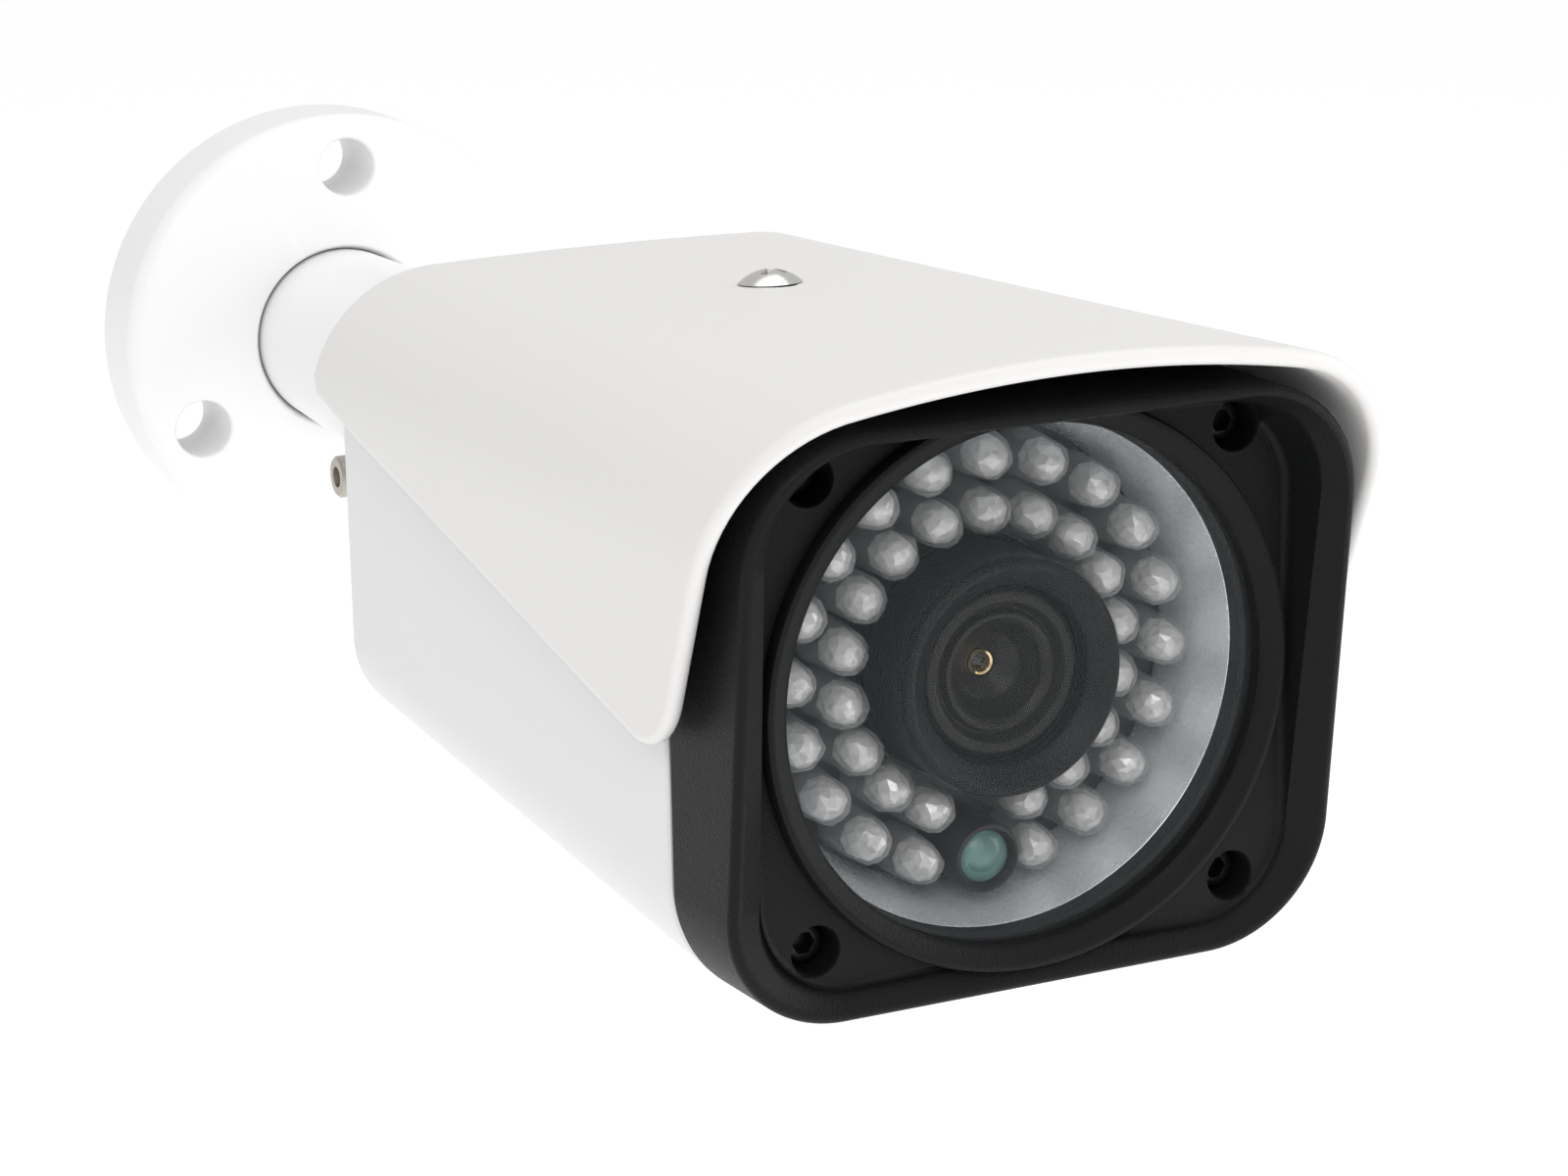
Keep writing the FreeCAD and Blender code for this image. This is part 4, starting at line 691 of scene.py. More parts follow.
def housing_outline(out, grow=0.0, steps=18):
    """The housing's rounded-box section at a distance from the wall, grown all round."""
    share = (out - HOUSING.back) / (HOUSING.front - HOUSING.back)

    def between(back, front):
        return back + (front - back) * share
    return rounded_outline(
        between(HOUSING_BACK.right, HOUSING_FRONT.right) + grow,
        between(HOUSING_BACK.low, HOUSING_FRONT.low) - grow,
        between(HOUSING_BACK.top, HOUSING_FRONT.top) + grow,
        between(BACK_CORNER, FRONT_CORNER) + grow, steps)


def housing_shell():
    edge = 1.2
    stations = [(HOUSING.back + 0.2, -WALL), (HOUSING.back, -WALL + 0.2)]
    stations += [(HOUSING.back + edge - edge * math.cos(math.radians(90 * k / 6)),
                  -edge + edge * math.sin(math.radians(90 * k / 6))) for k in range(7)]
    stations += [(HOUSING.front - 0.3, 0.0), (HOUSING.front, -0.3), (HOUSING.front, -WALL)]
    shell = solid("housing_shell", lambda m: loop_faces(
        m, [outline_loop(housing_outline(out, grow), out) for out, grow in stations], True))
    dress(shell, "camera", "white_paint", FINISH["white_paint"], "housing")


def rear_cap():
    front = CAP.front
    shrink = -(WALL + 0.12)
    lid_back = front - 4.0
    stations = [(lid_back, shrink - 0.4), (lid_back + 0.12, shrink - 0.12), (lid_back + 0.4, shrink),
                (front, shrink)]
    lid = solid("cap_lid", lambda m: loop_faces(
        m, [outline_loop(housing_outline(out, grow), out) for out, grow in stations]))
    tail = [(front - 0.5, 0), (front - 0.5, 18.4), (lid_back - 0.2, 18.4), (lid_back - 1.2, 18.05),
            (CAP.back + 0.6, 11.1), (CAP.back, 10.5), (CAP.back, 5.05), (CAP.back + 24, 5.05),
            (CAP.back + 24, 0)]
    cone = solid("tail", lambda m: lathe(m, eased(tail, 0.5), turned_y(), ROUND_STEPS))
    combine(lid, [cone], "UNION")
    lid.name = "cap"
    dress(lid, "camera", "white_paint", FINISH["white_paint"], "rear_cap")

    screws = Extent("rear_cap_screws")
    head, height, key_depth, shank = 2.55, 1.44, 1.3, 1.5
    heads = []
    for side in (-1, 1):
        for up in (-1, 1):
            spot = (side * (screws.right - head), up * (screws.top - head))
            heads.append(solid("cap_screw", lambda m, s=spot: socket_head(
                m, s, screws.back, -1, head, height, key_depth, shank, screws.front)))
    dress(join("cap_screws", heads), "camera", "zinc_steel", FINISH["zinc_steel"], "rear_cap_screws")

    gland = Extent("cable_gland")
    ribs = []
    for k in range(7):
        start = gland.back + 0.25 + k * 0.5
        ribs += [(start, 2.9 + 0.22 * k), (start + 0.3, 2.9 + 0.22 * k), (start + 0.3, 2.65 + 0.22 * k)]
    bore, throat = 1.9, 2.98
    profile = [(gland.back, bore), (gland.back, 2.7), *ribs, (lid_back, 4.4), (lid_back, throat),
               (front, throat), (front, 4.0), (gland.front, 3.9), (gland.front, bore)]
    boot = solid("gland", lambda m: lathe(m, profile, turned_y(gland.middle.x, gland.middle.z), 64, True))
    dress(boot, "camera", "black_rubber", FINISH["black_rubber"], "cable_gland")


def socket_head(mesh, centre, face, way, radius, height, depth, shank, tip):
    """A screw whose head ends at "face". "way" is 1 for a head that looks outwards, -1 for one that
    looks at the wall. Its hexagonal key is "depth" deep, and its shank ends at "tip"."""
    key = radius * 0.56
    steps = 48
    where = turned_y(*centre)

    def ring(d, r, six=False):
        angles = [TURN * k / steps for k in range(steps)]
        return [where(d, hexagon(r, a) if six else r, a) for a in angles]
    under = face - way * height
    loops = [ring(face - way * depth, 0.0), ring(face - way * depth, key, True),
             ring(face - way * 0.12, key, True), ring(face, key + 0.12, True), ring(face, radius - 0.35),
             ring(face - way * 0.12, radius - 0.1), ring(face - way * 0.4, radius), ring(under, radius),
             ring(under, shank), ring(tip + way * 0.5, shank), ring(tip, shank * 0.6), ring(tip, 0.0)]
    loop_faces(mesh, loops)


# ---------------------------------------------------------------- front bezel and window

RIM_OUT, RIM_SLANT = 207.6, 0.12        # the rim's plane: this far out at z = 0, and further with height
FACE_OUT = 203.0                        # the recessed face
RIM_BEVEL = 1.9                         # how deep the rim's inward slope goes
RIM_STOCK = 214.0                       # where the tapering outline is measured
WINDOW_RADIUS = 25.3
RIDGE_HEIGHT = 1.5                      # the round ridge round the window, above the face
SCREW_PLACES = [(x, z) for x in (-22.5, 22.5) for z in (-22.5, 22.5)]
SCREW_SEAT = 198.0                      # where the four screws' heads sit


def front_bezel():
    steps = 30
    foot = housing_outline(HOUSING.front, steps=steps)
    stock = rounded_outline(31.9, -29.3, 28.1, 12.0, steps)
    floor = rounded_outline(28.3, -26.5, 25.3, 9.5, steps)
    widen = 0.2 * (RIM_STOCK - FACE_OUT)
    mouth = rounded_outline(28.3 + widen, -26.5 - widen, 25.3 + widen, 9.5 + widen, steps)

    def rim(z):
        return RIM_OUT + RIM_SLANT * z

    def outer(outline_out, inset=0.0):
        """A loop on the outer skin, at a distance from the wall that may depend on z."""
        points = []
        for a, b in zip(foot, stock):
            out = outline_out(a[1])
            share = (out - BEZEL.back) / (RIM_STOCK - BEZEL.back)
            x, z = a[0] + (b[0] - a[0]) * share, a[1] + (b[1] - a[1]) * share
            shrink = 1 - inset / math.hypot(x, z)
            points.append(Vector((x * shrink, -out, z * shrink)))
        return points

    def inner(outline_out, inset=0.0):
        """A loop on the wall of the recess."""
        points = []
        for a, b in zip(floor, mouth):
            out = outline_out(a[1])
            share = (out - FACE_OUT) / (RIM_STOCK - FACE_OUT)
            x, z = a[0] + (b[0] - a[0]) * share, a[1] + (b[1] - a[1]) * share
            shrink = 1 + inset / math.hypot(x, z)
            points.append(Vector((x * shrink, -out, z * shrink)))
        return points

    back = BEZEL.back
    loops = [outer(lambda z: back, 0.25), outer(lambda z: back + 0.25)]
    for share in (0.25, 0.5, 0.75):
        loops.append(outer(lambda z: back + 0.25 + (rim(z) - 0.9 - back - 0.25) * share))
    rounding = 0.8
    for k in range(6):
        turn = math.radians(18 * k)
        loops.append(outer(lambda z: rim(z) - rounding + rounding * math.sin(turn),
                           rounding * (1 - math.cos(turn))))
    crest, foot_of_bevel = outer(rim, 1.1), inner(lambda z: rim(z) - RIM_BEVEL)
    for k in range(9):
        loops.append([a.lerp(b, k / 8) for a, b in zip(crest, foot_of_bevel)])
    fillet = 0.7
    for share in (0.06, 0.2, 0.5):
        loops.append(inner(lambda z: rim(z) - RIM_BEVEL - (rim(z) - RIM_BEVEL - FACE_OUT - fillet) * share))
    for k in range(5):
        turn = math.radians(22.5 * k)
        loops.append(inner(lambda z: FACE_OUT + fillet * (1 - math.sin(turn)),
                           -fillet * (1 - math.cos(turn))))
    bezel = solid("bezel", lambda m: loop_faces(m, loops))
    seat = GLASS.right + 0.12
    combine(bezel, [solid("bore", lambda m: lathe(
        m, [(back - 5, 0), (back - 5, seat), (RIM_STOCK, seat), (RIM_STOCK, 0)], turned_y()))])
    top = FACE_OUT + RIDGE_HEIGHT
    ledge = GLASS.front + 0.05
    ridge = [(ledge, WINDOW_RADIUS), (ledge, 27.3), (FACE_OUT - 0.2, 27.8), (FACE_OUT + 0.35, 27.88),
             (top - 0.45, 27.78), (top - 0.12, 27.6), (top, 27.25), (top - 0.06, 26.9), (top - 0.62, 25.8),
             (top - 0.8, WINDOW_RADIUS + 0.22), (top - 1.1, WINDOW_RADIUS)]
    combine(bezel, [solid("ridge", lambda m: lathe(m, ridge, turned_y(), closed=True))], "UNION")
    cutters = []
    for spot in SCREW_PLACES:
        hole, sink = 1.55, 2.35
        well = [(back - 1, 0), (back - 1, hole), (SCREW_SEAT, hole), (SCREW_SEAT, sink),
                (FACE_OUT - 0.45, sink), (FACE_OUT - 0.12, sink + 0.15), (FACE_OUT + 0.2, sink + 0.35),
                (RIM_STOCK, sink + 0.35), (RIM_STOCK, 0)]
        cutters.append(solid("well", lambda m, s=spot, w=well: lathe(m, w, turned_y(*s), 64)))
    combine(bezel, cutters)
    dress(bezel, "camera", "black_coat", FINISH["black_coat"], "front_bezel")

    screws = Extent("bezel_screws")
    head, height, key_depth, shank = 1.95, 2.4, 1.5, 1.4
    heads = [solid("face_screw", lambda m, s=s: socket_head(
        m, s, SCREW_SEAT + height, 1, head, height, key_depth, shank, screws.back)) for s in SCREW_PLACES]
    dress(join("face_screws", heads), "camera", "black_screw", FINISH["black_screw"], "bezel_screws")


def window():
    rim = GLASS.right
    bevel = 0.25
    pane = [(GLASS.back, 0), (GLASS.back, rim - bevel), (GLASS.back + bevel, rim),
            (GLASS.front - bevel, rim), (GLASS.front, rim - bevel), (GLASS.front, 0)]
    dress(solid("pane", lambda m: lathe(m, pane, turned_y())), "camera", "clear_glass",
          FINISH["clear_glass"], "window_glass")
    inside = SEAL.right - 1.2
    seal = [(SEAL.back, inside), (SEAL.back, SEAL.right), (SEAL.front, SEAL.right),
            (SEAL.front, inside + 0.3), (SEAL.front - 0.5, inside), (SEAL.front - 0.9, inside + 0.2),
            (SEAL.front - 1.3, inside)]
    dress(solid("seal_ring", lambda m: lathe(m, seal, turned_y(), closed=True)), "camera", "black_rubber",
          FINISH["black_rubber"], "window_seal")
    foot, thick = 23.1, 1.1
    flare_out = 195.3
    cone = [(REFLECTOR.back, foot), (REFLECTOR.back + 0.6, foot + 0.05),
            (REFLECTOR.front - 0.6, inside - 0.12), (REFLECTOR.front, inside),
            (REFLECTOR.front, REFLECTOR.right), (flare_out, REFLECTOR.right), (REFLECTOR.back, foot + thick)]
    dress(solid("reflector", lambda m: lathe(m, eased(cone, 0.2, True), turned_y(), closed=True)),
          "camera", "pale_reflector", FINISH["pale_reflector"], "reflector_ring")


# ---------------------------------------------------------------- lights, light sensor and lens

def light_board():
    hole = 9.6
    rim = LIGHT_BOARD.right
    profile = [(LIGHT_BOARD.back, hole), (LIGHT_BOARD.back, rim), (LIGHT_BOARD.front, rim),
               (LIGHT_BOARD.front, hole)]
    disc = solid("light_disc", lambda m: lathe(m, eased(profile, 0.12, True), turned_y(), closed=True))
    dress(disc, "camera", "black_board", FINISH["black_board"], "led_board")
    pads = []
    count, ring = 24, 11.9
    for k in range(count):
        angle = TURN * (k + 0.5) / count
        where = turned_y(ring * math.cos(angle), ring * math.sin(angle))
        dot = [(LIGHT_BOARD.front - 0.2, 0), (LIGHT_BOARD.front - 0.2, 0.5),
               (LIGHT_BOARD.front + 0.05, 0.42), (LIGHT_BOARD.front + 0.2, 0.2),
               (LIGHT_BOARD.front + 0.25, 0)]
        pads.append(solid("dot", lambda m, w=where, p=dot: lathe(m, p, w, 16)))
    dress(join("solder_dots", pads), "camera", "zinc_steel", FINISH["zinc_steel"])


def gem_dome(mesh, centre, radius, start, height, seed, jitter, sides=9):
    """A clear light's dome with uneven cut facets, on a straight foot."""
    draw = random.Random(seed)
    twist = draw.uniform(0, TURN)
    dome_start = start + height - radius
    rings = [(start, radius * 1.02, 0.0), (start + (height - radius) * 0.55, radius * 0.98, 0.3)]
    for rise in (5, 32, 58, 78):
        rings.append((dome_start + radius * math.sin(math.radians(rise)),
                      radius * math.cos(math.radians(rise)), 1.0))
    loops = []
    for k, (d, r, wild) in enumerate(rings):
        loop = []
        for i in range(sides):
            angle = twist + TURN * (i + 0.5 * (k % 2)) / sides + draw.uniform(-0.12, 0.12) * wild
            here = r * (1 - draw.uniform(0, jitter) * wild)
            out = d - draw.uniform(0, jitter) * wild * radius * 0.5
            loop.append(Vector((centre[0] + here * math.cos(angle), -out,
                                centre[1] + here * math.sin(angle))))
        loops.append(loop)
    verts = [[mesh.verts.new(p * MM) for p in loop] for loop in loops]
    for k, (low, high) in enumerate(zip(verts, verts[1:])):
        for i in range(sides):
            j = (i + 1) % sides
            if k % 2:
                mesh.faces.new((low[i], high[j], high[i]))
                mesh.faces.new((low[i], low[j], high[j]))
            else:
                mesh.faces.new((low[i], low[j], high[i]))
                mesh.faces.new((low[j], high[j], high[i]))
    tip = mesh.verts.new(Vector((centre[0], -(start + height), centre[1])) * MM)
    for i in range(sides):
        mesh.faces.new((verts[-1][i], verts[-1][(i + 1) % sides], tip))
    mesh.faces.new(verts[0])


# each ring's name, its CAD node, its radius and its places; the lowest place holds the light sensor
RINGS = (("outer", "led_ring_outer", 20.25, 20), ("inner", "led_ring_inner", 14.95, 18))
RING_TURN = math.radians(2)
SHELL_RADIUS, CORE_RADIUS_IN_LIGHT = 2.5, 2.05
CORE_LENGTH = 3.9                       # the bright part of a light, behind its tip
CORE_COVER = 0.45                       # how much clear shell is in front of it


def lights():
    """Two rings of clear lights, each a faceted dome over a silvered core."""
    start = LIGHT_BOARD.front + 0.06
    for title, node, ring, places in RINGS:
        height = Extent(node).front - start
        domes, cores = [], []
        for step in range(places):
            if 2 * step == places:
                continue
            angle = RING_TURN + TURN * step / places
            centre = (ring * math.sin(angle), ring * math.cos(angle))
            seed = places * 100 + step
            core_start = start + height - CORE_LENGTH - CORE_COVER
            domes.append(solid("dome", lambda m, c=centre, s=seed: gem_dome(
                m, c, SHELL_RADIUS, start, height, s, 0.13, 11), flat=True))
            cores.append(solid("core", lambda m, c=centre, s=seed + 50: gem_dome(
                m, c, CORE_RADIUS_IN_LIGHT, core_start, CORE_LENGTH, s, 0.1, 8), flat=True))
        dress(join(f"{title}_domes", domes), "camera", "clear_led", FINISH["clear_led"], node, even=False)
        dress(join(f"{title}_cores", cores), "camera", "clear_led", FINISH["led_core"], even=False)


def light_sensor():
    collar = Extent("sensor_eye_collar")
    eye = Extent("sensor_eye")
    centre = (collar.middle.x, collar.middle.z)
    radius, hole = collar.right - collar.middle.x, 2.65
    profile = [(collar.back, hole), (collar.back, radius), (collar.front - 0.6, radius),
               (collar.front - 0.15, radius - 0.2), (collar.front, radius - 0.5),
               (collar.front - 0.2, hole + 0.25), (collar.front - 0.9, hole)]
    dress(solid("eye_collar", lambda m: lathe(m, profile, turned_y(*centre), 72, True)), "camera",
          "black_rubber", FINISH["black_rubber"], "sensor_eye_collar")
    front, bulge, lens_radius, fitted = eye.front, 1.1, 2.6, 2.58
    base = front - bulge
    dome = (lens_radius ** 2 + bulge ** 2) / (2 * bulge)
    reach = math.degrees(math.asin(fitted / dome))
    cap = [(base - 0.6, 0), (base - 0.6, fitted)] + arc((front - dome, 0), dome, reach, 0, 14)
    dress(solid("eye_lens", lambda m: lathe(m, cap, turned_y(*centre), 64)), "camera", "sensor_tint",
          FINISH["sensor_tint"], "sensor_eye")
    bed = [(eye.back, 0), (eye.back, 2.5), (base - 0.75, 2.5), (base - 0.75, 1.5), (base - 1.6, 0.9),
           (base - 1.6, 0)]
    dress(solid("eye_bed", lambda m: lathe(m, bed, turned_y(*centre), SMALL_STEPS)), "camera",
          "sensor_tint", FINISH["eye_bed"])


def lens_shroud():
    back, front = SHROUD.back, SHROUD.front
    rim, aperture = 11.9, 8.75
    profile = [(back, rim - 1.7), (back, rim + 0.2), (back + 3.4, rim + 0.15), (back + 3.7, rim - 0.25),
               (back + 4.1, rim - 0.25), (front - 1.0, rim - 0.05), (front - 0.3, rim - 0.3),
               (front, rim - 0.8), (front - 0.1, rim - 1.2), (front - 1.2, aperture + 0.5),
               (front - 1.6, aperture + 0.1),
               (front - 2.0, aperture), (front - 3.6, aperture), (front - 4.6, rim - 1.7)]
    dress(solid("shroud", lambda m: lathe(m, eased(profile, 0.45, True, 5), turned_y(), closed=True)),
          "camera", "black_rubber", FINISH["shroud_rubber"], "lens_shroud")


def lens_barrel():
    front = BARREL.front
    rim = BARREL.right
    dish = front - 0.9
    bottom = dish - 3.3
    pupil, bore, neck = 1.4, 4.95, 5.95
    step_out = 186.5
    profile = [(BARREL.back, bore), (BARREL.back, neck), (step_out, neck), (step_out, rim - 0.4),
               (front - 0.4, rim), (front, rim - 0.4), (front, 6.95), (dish - 0.35, 6.35),
               (dish - 0.3, 6.1), (front - 0.35, 5.75), (front - 0.4, 5.35), (dish, 4.75),
               (dish - 0.5, 4.6), (bottom + 1.3, 3.55), (bottom + 1.1, 3.35), (bottom, pupil + 0.15),
               (bottom - 0.3, pupil), (bottom - 2, pupil), (bottom - 2, bore)]
    dress(solid("barrel", lambda m: lathe(m, eased(profile, 0.22, True, 4), turned_y(), closed=True)),
          "camera", "dark_anodised", FINISH["dark_anodised"], "lens_barrel")
    ring = Extent("lens_pupil_ring")
    rim_profile = [(ring.back, 0.85), (ring.back, 1.35), (ring.front - 0.15, 1.35), (ring.front, 1.2),
                   (ring.front - 0.1, 1.0), (ring.front - 0.5, 0.85)]
    dress(solid("pupil_rim", lambda m: lathe(m, rim_profile, turned_y(), 64, True)), "camera", "gold_rim",
          FINISH["gold_rim"], "lens_pupil_ring")
    glass = Extent("lens_front_glass")
    bead = [(glass.back, 0), (glass.back, 0.82), (glass.front - 0.35, 0.82), (glass.front - 0.1, 0.5),
            (glass.front, 0)]
    dress(solid("front_bead", lambda m: lathe(m, eased(bead, 0.3), turned_y(), SMALL_STEPS)), "camera",
          "coated_glass", FINISH["coated_glass"], "lens_front_glass")


# ---------------------------------------------------------------- sunshield

HOOD_WALL = 1.8
HOOD_CROWN = (0.3, 2.3)                 # the top's fall to its shoulders, at the back and the front
HOOD_CORNER = 15.5
HOOD_FRONT, HOOD_LEAN = 200.3, 0.44     # the front edge: this far out at z = 0, and further with height
HOOD_LOW_BACK, HOOD_FALL = 12.9, 0.1706     # the side's lower edge: its height at the back, and its fall
HOOD_TIP = 8.6                          # rounding where the lower edge meets the front edge
HOOD_STEPS = 90
HOOD_BACK_END = Extent("sunshield", HOOD.back)


class HoodEdge:
    """The trimmed outline of the hood's sides, seen from the side, drawn in by a margin."""

    def __init__(self, margin):
        self.margin = margin
        self.back = HOOD.back + margin
        self.radius = HOOD_TIP - margin
        fall = math.hypot(1, HOOD_FALL)
        lean = math.hypot(1, HOOD_LEAN)
        self.low = lambda out: HOOD_LOW_BACK - HOOD_FALL * (out - HOOD.back) + margin * fall
        self.front = lambda z: HOOD_FRONT + HOOD_LEAN * z - margin * lean
        corner_out = (self.front(self.low(0))) / (1 + HOOD_LEAN * HOOD_FALL)
        corner = Vector((corner_out, self.low(corner_out)))
        along_low = Vector((-1, HOOD_FALL)).normalized()
        along_front = Vector((HOOD_LEAN, 1)).normalized()
        half = along_low.angle(along_front) / 2
        self.centre = corner + (along_low + along_front).normalized() * (self.radius / math.sin(half))
        self.touch_low = corner + along_low * (self.radius / math.tan(half))
        self.touch_front = corner + along_front * (self.radius / math.tan(half))
        self.lowest = self.centre.y - self.radius

    def span(self, z):
        """The nearest and furthest places of the sheet at a height."""
        drop = min(self.radius, abs(z - self.centre.y))
        chord = math.sqrt(self.radius ** 2 - drop ** 2)
        back = self.back
        if z < self.touch_low.y:
            back = self.centre.x - chord
        elif z < self.low(self.back):
            back = HOOD.back + (HOOD_LOW_BACK + self.margin * math.hypot(1, HOOD_FALL) - z) / HOOD_FALL
        front = self.centre.x + chord if z < self.touch_front.y else self.front(z)
        return back, front


def hood_section(out):
    """Half-width, top and crown of the hood's outer skin at a distance from the wall."""
    share = (out - HOOD.back) / (HOOD.front - HOOD.back)
    ends = ((HOOD_BACK_END.right, HOOD.right), (HOOD_BACK_END.top, HOOD.top), HOOD_CROWN)
    return [back + (front - back) * share for back, front in ends]


def hood_place(row, out, depth=0.0):
    """A place "depth" under the outer skin, and the outward direction. Rows 0 to 1 cross the crowned
    top, 1 to 2 the corner, and beyond 2 each unit is a millimetre down the side."""
    width, top, crown = hood_section(out)
    slope = math.atan(2 * crown / (width - HOOD_CORNER))
    flat = width - HOOD_CORNER * (1 - math.sin(slope))
    centre = Vector((flat - HOOD_CORNER * math.sin(slope), -out, top - crown - HOOD_CORNER * math.cos(slope)))
    if row <= 1:
        way = Vector((math.sin(slope * row), 0, math.cos(slope * row)))
        return Vector((flat * row, -out, top - crown * row ** 2)) - way * depth, way
    angle = (math.pi / 2 - slope) * max(0.0, 2 - row)
    way = Vector((math.cos(angle), 0, math.sin(angle)))
    place = centre + way * (HOOD_CORNER - depth)
    place.z -= max(0.0, row - 2)
    return place, way


def sunshield():
    """A bent sheet with rounded edges, its sides trimmed along a slant."""
    half = HOOD_WALL / 2
    edge = HoodEdge(half)

    def span(row):
        ends = [edge.back, HOOD_FRONT]
        for _ in range(12):
            for end in (0, 1):
                place, _way = hood_place(row, ends[end], half)
                ends[end] = edge.span(max(place.z, edge.lowest + 0.001))[end]
        return ends

    depth = hood_place(2, edge.centre.x, half)[0].z - edge.lowest
    rows = [k / 14 for k in range(15)] + [1 + k / 16 for k in range(1, 17)]
    rows += [2 + depth * math.sin(math.pi / 2 * k / 44) for k in range(1, 44)]
    rows.append(2 + depth * 0.99995)
    grid = []
    for row in rows:
        start, stop = span(row)
        grid.append([hood_place(row, start + (stop - start) * k / HOOD_STEPS, half)
                     for k in range(HOOD_STEPS + 1)])
    mirror = Vector((-1, 1, 1))
    left = [[(p * mirror, w * mirror) for p, w in line] for line in reversed(grid[1:])]
    grid = left + grid
    last = len(grid) - 1
    border = [(0, k) for k in range(HOOD_STEPS)] + [(r, HOOD_STEPS) for r in range(last)]
    border += [(last, k) for k in range(HOOD_STEPS, 0, -1)] + [(r, 0) for r in range(last, 0, -1)]

    def build(mesh):
        sheets = []
        for side in (1, -1):
            sheets.append([[mesh.verts.new((p + w * half * side) * MM) for p, w in line] for line in grid])
            verts = sheets[-1]
            for r in range(last):
                for k in range(HOOD_STEPS):
                    mesh.faces.new((verts[r][k], verts[r][k + 1], verts[r + 1][k + 1], verts[r + 1][k]))
        strips = [[sheets[0][r][k] for r, k in border]]
        count = len(border)
        bends = 6
        for step in range(1, bends):
            angle = math.pi * step / bends
            strip = []
            for i, (r, k) in enumerate(border):
                place, way = grid[r][k]
                before, after = (grid[border[j % count][0]][border[j % count][1]][0] for j in (i - 1, i + 1))
                outward = (after - before).cross(way).normalized()
                edge = place + way * half * math.cos(angle) + outward * half * math.sin(angle)
                strip.append(mesh.verts.new(edge * MM))
            strips.append(strip)
        strips.append([sheets[1][r][k] for r, k in border])
        for one, two in zip(strips, strips[1:]):
            for i in range(count):
                j = (i + 1) % count
                if len({one[i], one[j], two[j], two[i]}) == 4:
                    mesh.faces.new((one[i], one[j], two[j], two[i]))
    hood = solid("hood", build)
    screw = Extent("sunshield_screw")
    hole = turned_up(0, (screw.back + screw.front) / 2)
    combine(hood, [solid("hood_hole", lambda m: lathe(
        m, [(20, 0), (20, 2.02), (40, 2.02), (40, 0)], hole, SMALL_STEPS))])
    dress(hood, "camera", "hood_paint", FINISH["hood_paint"], "sunshield")


def hood_screw():
    """The domed cross-head screw on the hood."""
    screw = Extent("sunshield_screw")
    out = (screw.back + screw.front) / 2
    top = hood_section(out)[1]
    slope = math.atan((HOOD.top - HOOD_BACK_END.top) / (HOOD.front - HOOD.back))
    where = turned_up(0, out, slope)
    head, rise = 3.4, 1.4
    dome = (head ** 2 + rise ** 2) / (2 * rise)
    seat = top + 0.05
    profile = [(screw.low, 0), (screw.low, 1.3), (screw.low + 0.4, 1.66), (seat, 1.66), (seat, head - 0.15)]
    profile += arc((seat + rise - dome, 0), dome, math.degrees(math.asin(head / dome)), 0, 12)
    bolt = solid("hood_screw", lambda m: lathe(m, profile, where, 96))
    cutters = []
    for turn in (45, 135):
        def build(mesh, turn=turn):
            angle = math.radians(turn)
            for high, length, width in ((seat + rise + 1, 2.5, 0.5), (seat + rise - 1.1, 1.5, 0.3)):
                for side, end in ((-1, -1), (1, -1), (1, 1), (-1, 1)):
                    flat = Vector((end * length, side * width))
                    flat.rotate(Matrix.Rotation(angle, 2))
                    mesh.verts.new(where(high, 0, 0) * MM + Matrix.Rotation(-slope, 3, "X") @ Vector(
                        (flat.x, flat.y, 0)) * MM)
            mesh.verts.ensure_lookup_table()
            upper, lower = mesh.verts[:4], mesh.verts[4:]
            mesh.faces.new(upper)
            mesh.faces.new(lower)
            for i in range(4):
                mesh.faces.new((upper[i], upper[(i + 1) % 4], lower[(i + 1) % 4], lower[i]))
        cutters.append(solid("cross", build))
    combine(bolt, cutters)
    dress(bolt, "camera", "bright_nickel", FINISH["bright_nickel"], "sunshield_screw")


# ---------------------------------------------------------------- frame pieces that keep their CAD shape

def carried_over():
    """CAD pieces that stay as they are: each takes the material of its slot."""
    slot_of = {s["node"]: s["material_slot"] for s in frame["record"]["subparts"]}
    for name, thing in frame["nodes"].items():
        material = FINISH[slot_of[name]]
        thing.data.materials.clear()
        thing.data.materials.append(material)


# ---------------------------------------------------------------- stage, lights and camera

AZIMUTH, ELEVATION, ROLL = -25.4, 15.1, -1.0
LENS_MM, SENSOR_MM = 90.0, 36.0
AIM_POINT = Vector((0, -194.0, 0))      # on the lens axis, in front of the light board
AIM_IN_VIEW = Vector((18.95, -7.15, -375.5))        # where the camera sees that point
ROOM_LIGHT = 0.66                       # how bright the white surroundings are


def view_axes():
    turn, lift, roll = (math.radians(a) for a in (AZIMUTH, ELEVATION, ROLL))
    right = Vector((math.cos(turn), math.sin(turn), 0))
    back = Vector((math.sin(turn) * math.cos(lift), -math.cos(turn) * math.cos(lift), math.sin(lift)))
    up = back.cross(right)
    return (right * math.cos(roll) + up * math.sin(roll), up * math.cos(roll) - right * math.sin(roll), back)


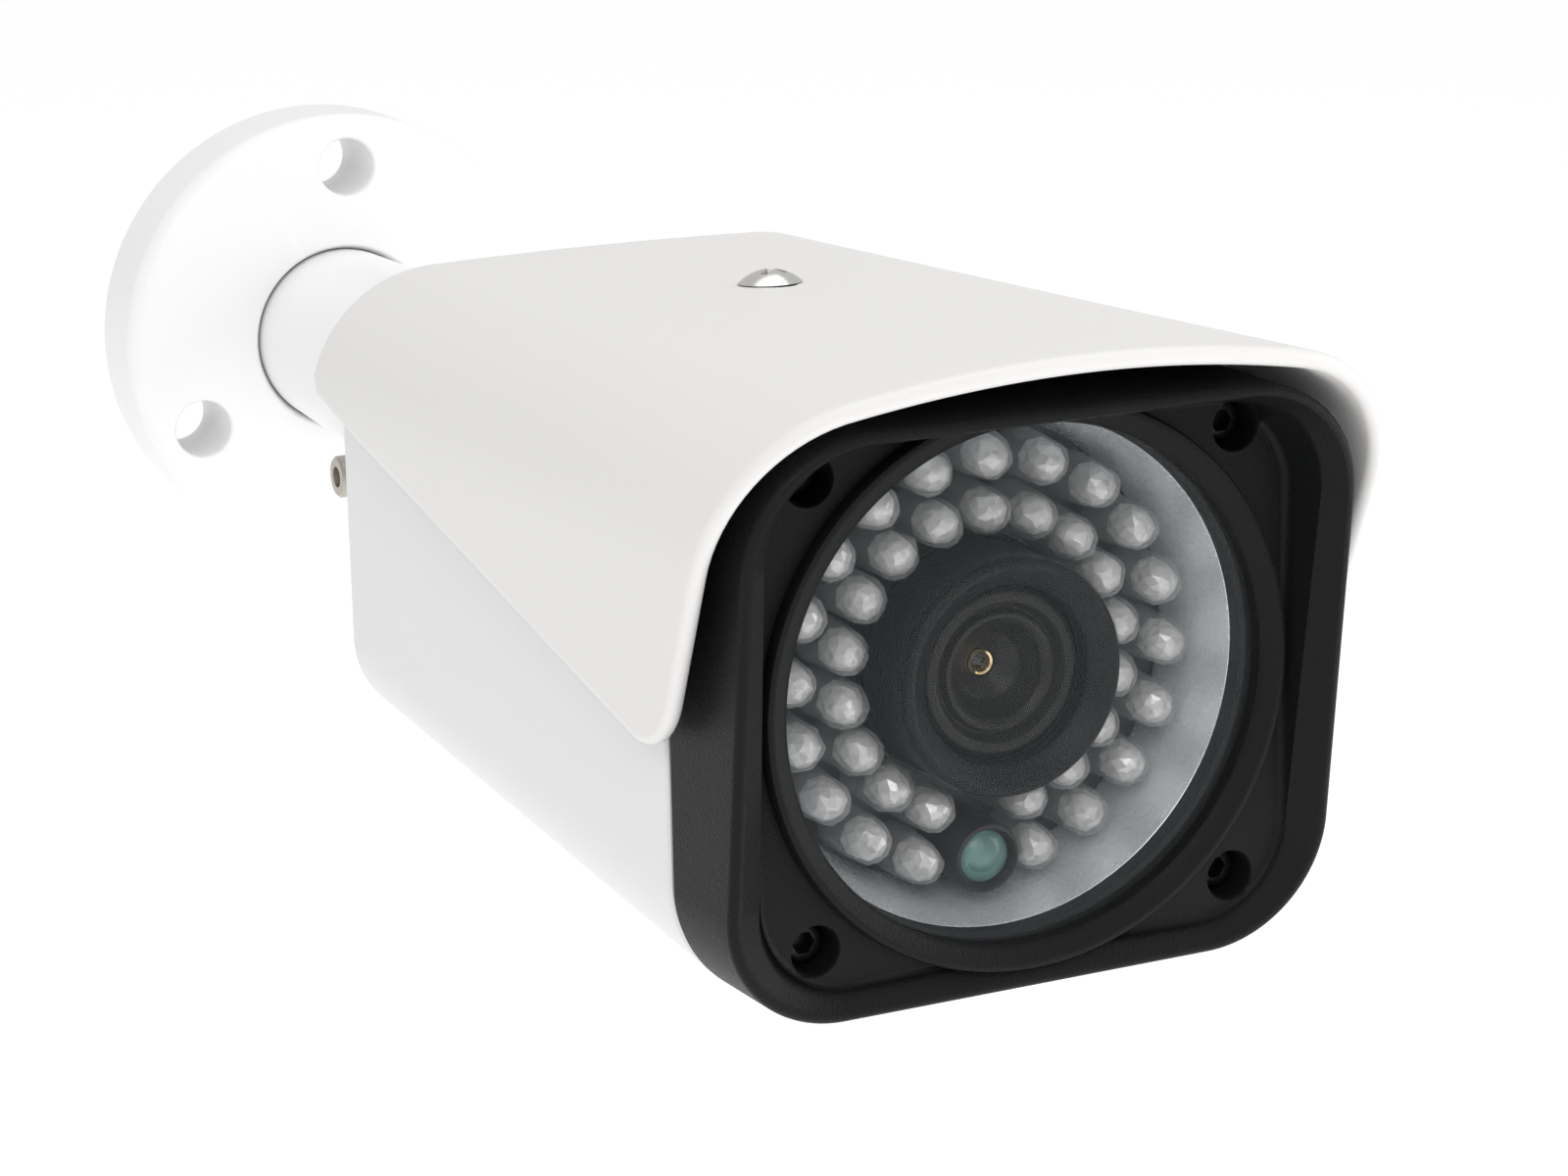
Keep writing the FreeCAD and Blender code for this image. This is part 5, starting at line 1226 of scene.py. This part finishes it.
def make_camera():
    data = bpy.data.cameras.new("View")
    data.lens, data.sensor_width = LENS_MM, SENSOR_MM
    data.clip_start, data.clip_end = 0.01, 20
    right, up, back = view_axes()
    place = AIM_POINT - right * AIM_IN_VIEW.x - up * AIM_IN_VIEW.y - back * AIM_IN_VIEW.z
    view = bpy.data.objects.new("View", data)
    view.matrix_world = Matrix.Translation(place * MM) @ Matrix((right, up, back)).transposed().to_4x4()
    bpy.context.scene.collection.objects.link(view)
    bpy.context.scene.camera = view


def soft_light(name, place, aim, size, power, tint=(1, 1, 1)):
    data = bpy.data.lights.new(name, "AREA")
    data.shape, data.size, data.size_y = "RECTANGLE", size[0], size[1]
    data.energy, data.color = power, tint
    lamp = bpy.data.objects.new(name, data)
    lamp.location = place
    lamp.rotation_euler = (Vector(aim) - Vector(place)).to_track_quat("-Z", "Y").to_euler()
    bpy.context.scene.collection.objects.link(lamp)


def make_stage():
    scene = bpy.context.scene
    scene.view_settings.view_transform = "Standard"
    world = bpy.data.worlds.new("Studio")
    world.use_nodes = True
    tree = world.node_tree
    sky = tree.nodes["Background"]
    seen = add(tree, "ShaderNodeLightPath").outputs["Is Camera Ray"]
    level = add(tree, "ShaderNodeMapRange", {"Value": seen, "To Min": ROOM_LIGHT, "To Max": 1.0})
    tree.links.new(level.outputs["Result"], sky.inputs["Strength"])
    sky.inputs["Color"].default_value = (1, 1, 1, 1)
    scene.world = world
    floor = solid("floor", lambda m: bmesh.ops.create_grid(m, x_segments=1, y_segments=1, size=6))
    floor.location = (0, 0, -0.32)
    floor.data.materials.append(surface("Pale floor", grey(0.95), grey(0.93), 0.8, grain=300, depth=0.02,
                                        tone_scale=2.0, Emission_Color=(1, 1, 1, 1), Emission_Strength=0.36))
    aim = (0, -0.12, 0)
    soft_light("Key", (-0.45, -1.0, 0.65), aim, (0.7, 0.5), 3.5)
    soft_light("Top", (0.1, -0.1, 0.9), aim, (0.9, 0.9), 3.0)
    soft_light("Right", (0.9, -0.55, 0.15), aim, (0.5, 0.8), 3.4)


wall_plate()
bracket_arm()
clamp_fixings()
stud_and_nut()
housing_shell()
rear_cap()
front_bezel()
window()
light_board()
lights()
light_sensor()
lens_shroud()
lens_barrel()
sunshield()
hood_screw()
carried_over()
make_stage()
make_camera()
